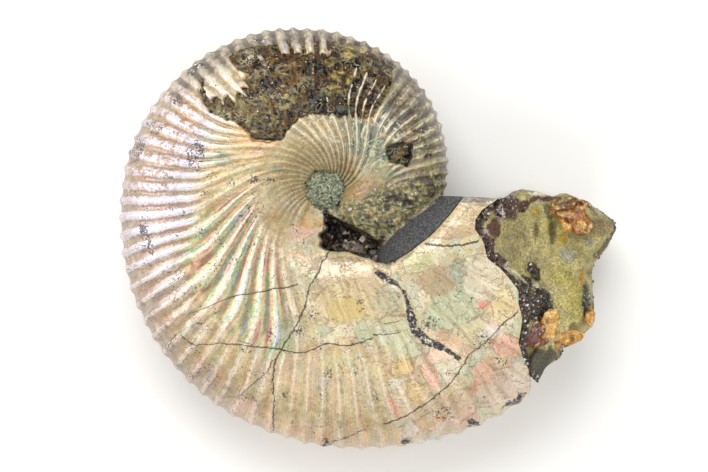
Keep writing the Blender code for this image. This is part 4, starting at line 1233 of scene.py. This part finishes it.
class FOSSIL_OT_dorsal_matrix(bpy.types.Operator):
    """Makes the dark stone seam between the coil and the living chamber"""

    bl_idname = "fossil.dorsal_matrix"
    bl_label = "Dorsal matrix"

    def execute(self, context):
        bm = divided_block(60, 14, 4)
        lengthwise, across, upright = shares(bm.verts)
        turn = mix(NOTCH_FULL, WHORL_END, lengthwise)
        inner, outer = seam_radii(turn)
        one = np.ones_like(turn)
        crest = whorl_height(turn, outer, one) - SEAM_STEP
        radius = mix(inner + 0.35, outer - 0.15, across)
        early = whorl_height(turn - 360.0, inner, one)
        top = mix(early + 0.35, crest - 0.05, across)
        bottom = mix(early + 0.05, crest - NOTCH_DEPTH + 0.15, across)
        points = place(turn, radius, mix(bottom, top, upright))
        points[:, 2] += 0.05 * swell(points, 1.2, 3.0)
        set_points(bm.verts, points)
        mesh = finish_mesh(bm, "dorsal_matrix", sharp=40.0)
        stone = simple_rock("mudstone_ground", ("#222224", "#3c3c3e", "#828284"), 0.32, 0.7, 0.05)
        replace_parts(add_piece("seam_stone", mesh, [stone]), "dorsal_matrix")
        return {"FINISHED"}


def granular_material(name, grain_size, speck, roughness):
    """A sandy rock that takes its tint from the mesh, with dark and pale grains in it."""
    rock = Finish(name, "tint")
    node, mottle = rock.node, rock.mottle
    crust = node("Attribute", attribute_name="crust")
    coarse, fine = mottle(5.0 * grain_size, 4.0, 0.6), mottle(grain_size, 3.0, 0.75)
    rock.shade(0.8, coarse, ((0.38, 0.76), (0.5, 1.0), (0.62, 1.22)))
    rock.shade(0.85, fine, ((0.37, 0.4), (0.46, 0.9), (0.55, 1.08), (0.63, 1.6)))
    rock.coat(node("MapRange", mottle(0.9 * grain_size, 2.0, 0.6), 0.63, 0.69), speck, 0.7)
    chips = node("MapRange", mottle(1.3 * grain_size, 2.0, 0.6), 0.62, 0.66)
    rock.coat(node("MULTIPLY", chips, crust), "#d6cfc4", 0.85)
    rough = node("MULTIPLY_ADD", crust, -0.35, roughness)
    return rock.done({"Roughness": rough}, node("MULTIPLY_ADD", fine, 0.5, coarse), 0.9, 0.25)


class FOSSIL_OT_aperture_matrix(bpy.types.Operator):
    """Makes the rock in the mouth, with its sandy dish, its crystal crust and its calcite"""

    bl_idname = "fossil.aperture_matrix"
    bl_label = "Aperture matrix"

    def execute(self, context):
        bm = divided_block(120, 90, 30)
        lengthwise, across, upright = shares(bm.verts)
        upward = 2.0 * upright - 1.0
        turn = mix(ROCK_START, WHORL_END, lengthwise)
        one = np.ones_like(turn)
        inner = along(MOUTH_EDGE, turn) + 0.12
        outer = np.maximum(inner + 0.7, along(ROCK_EDGE, turn))
        outer = outer - 2.0 * upward**2 * across * ease(320.0, 326.0, turn)
        radius = mix(inner, outer, across)
        share = (radius - inner) / np.maximum(0.5, along(ROCK_EDGE, turn) - inner)
        crust = np.minimum(whorl_height(turn, inner, one) - 0.6, 12.1)
        top = mix(crust, 5.6, ease(0.05, 0.42, share))
        early = 1.0 - ease(ROCK_START, 332.0, turn)
        top += 1.2 * ease(0.75, 1.0, share) + 2.2 * early * ease(0.2, 0.7, share)
        overhang = (along(ROCK_CREST, radius) - WHORL_END) * ease(347.0, WHORL_END, turn)
        shifted = turn + overhang * ease(0.0, 0.3, across)
        flat = place(shifted, radius, 0.0 * one)
        ragged = swell(flat, 1.6, 81.0) + 0.6 * swell(flat, 0.6, 82.0)
        for ellipse, rise in ROCK_LUMPS:
            top += rise * spots(flat, (ellipse,), 0.3 * ragged, 0.4)
        top += 0.4 * swell(flat, 4.0, 5.0) * ease(0.0, 0.2, across)
        top = np.minimum(top, 0.985 * whorl_height(turn, radius, one))
        band = 1.0 - ease(1.1, 1.7, radius - inner + 0.5 * ragged)
        crusty = np.maximum(spots(flat, ROCK_CRUST, 0.5 * ragged), band)
        top += upward * crusty * (0.35 * swell(flat, 1.1, 43.0) + 0.4 * cell_gap(flat, 0.9, 44.0))
        bottom = -0.985 * whorl_height(turn, radius, -one)
        height = mix(bottom, top, upright)
        solid = place(turn, radius, height)
        radius = radius + np.where(across > 0.5, 0.5, 0.0) * swell(solid, 3.5, 9.0)
        height = height + 0.12 * swell(solid, 1.2, 41.0) + 0.07 * swell(solid, 0.5, 42.0)
        points = place(shifted, radius, np.maximum(height, -MID_PLANE))
        set_points(bm.verts, points)
        ground = np.tile(context.scene.fossil_colours.siltstone, (len(points), 1))
        tint = patched(ground, points, ROCK_PATCHES, ragged)

        # The steep sides aren't shown: the same stones in clouds, from a millimetre below the top
        deep, cloudy = ease(0.8, 2.6, top - height), swell(points, 3.0, 61.0)
        spotted = swell(points, 4.4, 62.0) + 0.4 * swell(points, 1.4, 63.0) + 0.2 * swell(points, 0.7, 64.0)
        brown = ease(0.16, 0.3, -spotted - 0.4 * cloudy)
        side = zoned(ground, ("#7a6c3c", ease(-0.1, 0.3, cloudy)), ("#8c8b80", 0.6 * ease(0.2, 0.4, spotted)),
                     ("#3d2f27", 0.9 * brown))
        tint = mix(tint, side, deep[:, None])
        crusty = mix(crusty, 0.8 * brown, deep)
        maroon = np.array(linear("#4a3230"))
        tint = mix(tint, mix(maroon, 0.35 * maroon, ease(-0.2, 0.4, ragged)[:, None]), (0.9 * band)[:, None])
        set_layer(bm.verts, bm.verts.layers.float.new("crust"), crusty)
        set_layer(bm.verts, bm.verts.layers.float_color.new("tint"), tint)
        mesh = finish_mesh(bm, "aperture_matrix")
        rock = granular_material("siltstone_sandy", 0.32, "#4c4628", 0.85)
        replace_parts(add_piece("mouth_rock", mesh, [rock]), "aperture_matrix")

        rng = np.random.default_rng(11)
        candidates = np.nonzero((crusty > 0.6) & ((upward > 0.99) | (across > 0.99) & (upward > 0.0)))[0]
        chosen = rng.choice(candidates, min(MOUTH_CRYSTALS, len(candidates)), replace=False)
        bm = bmesh.new()
        shades = np.where(rng.uniform(size=len(chosen)) < 0.2, rng.uniform(0.6, 1.0, len(chosen)),
                          rng.uniform(0.0, 0.5, len(chosen)))
        add_crystals(bm, points[chosen], rng.uniform(0.1, 0.42, len(chosen)), shades, rng)
        mesh = finish_mesh(bm, "mouth_crystals", sharp=25.0)
        stops = ((0.0, "#171412"), (0.25, "#3b2a28"), (0.45, "#5e433c"), (0.62, "#77706a"), (0.8, "#b9b2a8"),
                 (1.0, "#efeae2"))
        barite = crystal_material("barite_crystals", stops, 0.35)
        add_piece("mouth_crystals", mesh, [barite])
        return {"FINISHED"}


class FOSSIL_OT_calcite_nodules(bpy.types.Operator):
    """Makes the glossy amber and red-brown nodules in the rock of the mouth"""

    bl_idname = "fossil.calcite_nodules"
    bl_label = "Calcite nodules"

    def execute(self, context):
        bm = bmesh.new()
        layer = bm.verts.layers.float_color.new("tint")
        for x, y, long_half, short_half, tall_half, turned, leaned, height, code in NODULES:
            verts = bmesh.ops.create_icosphere(bm, subdivisions=4, radius=1.0)["verts"]
            lean = Euler((0.0, math.radians(leaned), math.radians(turned))).to_matrix()
            co = np.array([vert.co[:] for vert in verts])
            rng = np.random.default_rng(x)
            for facing in rng.normal(size=(10, 3)):
                facing /= np.linalg.norm(facing)
                past = co @ facing - rng.uniform(0.58, 0.86)
                co -= np.maximum(past, 0.0)[:, None] * facing
            rough = 1.06 + 0.2 * swell(co, 1.1, x) + 0.06 * swell(co, 0.4, y)
            local = co * rough[:, None] * np.array((long_half, short_half, tall_half))
            centre = (*photo_place(x, y), MID_PLANE + height)
            points = local @ np.array(lean).T + np.array(centre)
            shade = swell(points, 0.9, 21.0)
            set_points(verts, points)
            set_layer(verts, layer, zoned(np.tile(linear(code), (len(verts), 1)),
                                          ("#4a2b14", 0.8 * ease(0.15, 0.5, -shade)),
                                          ("#dcbf83", 0.7 * ease(0.15, 0.4, shade))))
        mesh = finish_mesh(bm, "calcite_nodules")
        add_piece("calcite_nodules", mesh, [nodule_material()])
        return {"FINISHED"}


def nodule_material():
    """Amber calcite, broken along cleavage faces: clear, resin brown and wet looking, with white glints."""
    amber = Finish("calcite_amber_cleaved", "tint")
    amber.shade(0.85, amber.mottle(0.35, 4.0, 0.7), ((0.37, 0.45), (0.46, 0.9), (0.55, 1.1), (0.63, 1.7)))
    amber.coat(amber.node("MapRange", amber.mottle(0.5, 2.0, 0.6), 0.66, 0.7), "#f2e8d6", 0.8)
    return amber.done({"Roughness": 0.14, "IOR": 1.6}, amber.mottle(0.8, 3.0), 0.8, 0.25)


class FOSSIL_OT_umbilical_plug(bpy.types.Operator):
    """Makes the granular button of rock in the umbilicus"""

    bl_idname = "fossil.umbilical_plug"
    bl_label = "Umbilical plug"

    def execute(self, context):
        bm = bmesh.new()
        bmesh.ops.create_icosphere(bm, subdivisions=5, radius=1.0)
        co = np.array([vert.co[:] for vert in bm.verts])
        turn = np.degrees(np.arctan2(co[:, 1], co[:, 0]))
        spread = np.hypot(co[:, 0], co[:, 1])
        upper = co[:, 2] > 0.0
        radius = spread * (UMBILICUS_OPENING + 0.35)
        height = np.where(upper, UMBILICUS_RIM - 0.75 + 1.1 * co[:, 2], 5.0 + 2.7 * co[:, 2])
        flat = place(turn, radius, height)
        height = height + upper * (0.45 * swell(flat, 1.2, 3.0) + 0.5 * cell_gap(flat, 0.6, 5.0))
        set_points(bm.verts, place(turn, radius, height))
        mesh = finish_mesh(bm, "umbilical_plug")
        stone = simple_rock("glauconite_grit", ("#2a2d20", "#6a705a", "#a8ab90"), 0.45, 0.6, 0.2, "#b9bf9f")
        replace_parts(add_piece("umbilicus_rock", mesh, [stone]), "umbilical_plug")
        return {"FINISHED"}


class FOSSIL_OT_stage(bpy.types.Operator):
    """Sets up the table, the soft studio light and the camera"""

    bl_idname = "fossil.stage"
    bl_label = "Table, light and camera"

    def execute(self, context):
        scene = context.scene
        bm = bmesh.new()
        bmesh.ops.create_grid(bm, x_segments=1, y_segments=1, size=3.0)
        mesh = bpy.data.meshes.new("table")
        bm.to_mesh(mesh)
        bm.free()
        paper = Finish("table_paper")
        paper.colour = scene.fossil_colours.floor
        mesh.materials.append(paper.done({"Roughness": 0.9}))
        table = bpy.data.objects.new("table", mesh)
        scene.collection.objects.link(table)

        world = bpy.data.worlds.new("studio")
        world.use_nodes = True
        world.node_tree.nodes["Background"].inputs["Color"].default_value = (1.0, 1.0, 1.0, 1.0)
        world.node_tree.nodes["Background"].inputs["Strength"].default_value = 0.45
        scene.world = world
        for name, direction, distance, size, power in (
                ("left", (-1.0, 0.15, 0.34), 0.4, 0.24, 0.8),
                ("top", (-0.15, 0.75, 1.0), 0.7, 0.5, 3.3),
                ("front", (-0.1, -1.0, 1.0), 0.7, 0.5, 1.4),
                ("right", (1.0, 0.0, 0.9), 0.6, 0.4, 0.9)):
            light = bpy.data.lights.new(name, "AREA")
            light.shape = "RECTANGLE"
            light.size = light.size_y = size
            light.energy = power
            lamp = bpy.data.objects.new(name, light)
            outward = Vector(direction).normalized()
            lamp.location = outward * distance
            lamp.rotation_euler = outward.to_track_quat("Z", "Y").to_euler()
            scene.collection.objects.link(lamp)

        camera = bpy.data.cameras.new("camera")
        camera.lens = 250.0
        camera.clip_end = 10.0
        holder = bpy.data.objects.new("camera", camera)
        away = FRAME_WIDTH * PIXEL * MM / camera.sensor_width * camera.lens
        middle = photo_place(FRAME_WIDTH / 2.0, FRAME_HEIGHT / 2.0)
        holder.location = Vector((*middle, MID_PLANE)) * MM + Vector((0.0, 0.0, away))
        scene.collection.objects.link(holder)
        scene.camera = holder
        scene.view_settings.view_transform = "Standard"
        return {"FINISHED"}


class FOSSIL_PT_panel(bpy.types.Panel):
    bl_idname = "FOSSIL_PT_panel"
    bl_label = "Ammonite fossil"
    bl_space_type = "VIEW_3D"
    bl_region_type = "UI"
    bl_category = "Fossil"

    def draw(self, context):
        for group in (context.scene.fossil_sizes, context.scene.fossil_colours):
            for name in group.bl_rna.properties.keys():
                if name not in ("rna_type", "name"):
                    self.layout.prop(group, name)
        for operator in OPERATORS:
            self.layout.operator(operator.bl_idname)


OPERATORS = (FOSSIL_OT_nacre_shell, FOSSIL_OT_chamber_infill, FOSSIL_OT_hollow_crystals,
             FOSSIL_OT_dorsal_matrix, FOSSIL_OT_aperture_matrix, FOSSIL_OT_calcite_nodules,
             FOSSIL_OT_umbilical_plug, FOSSIL_OT_stage)
CLASSES = (FossilSizes, FossilColours, *OPERATORS, FOSSIL_PT_panel)


def register():
    for each in CLASSES:
        bpy.utils.register_class(each)
    bpy.types.Scene.fossil_sizes = bpy.props.PointerProperty(type=FossilSizes)
    bpy.types.Scene.fossil_colours = bpy.props.PointerProperty(type=FossilColours)


def unregister():
    del bpy.types.Scene.fossil_colours
    del bpy.types.Scene.fossil_sizes
    for each in reversed(CLASSES):
        bpy.utils.unregister_class(each)


def main():
    register()
    for operator in OPERATORS:
        group, name = operator.bl_idname.split(".")
        getattr(getattr(bpy.ops, group), name)()


if __name__ == "__main__":
    main()
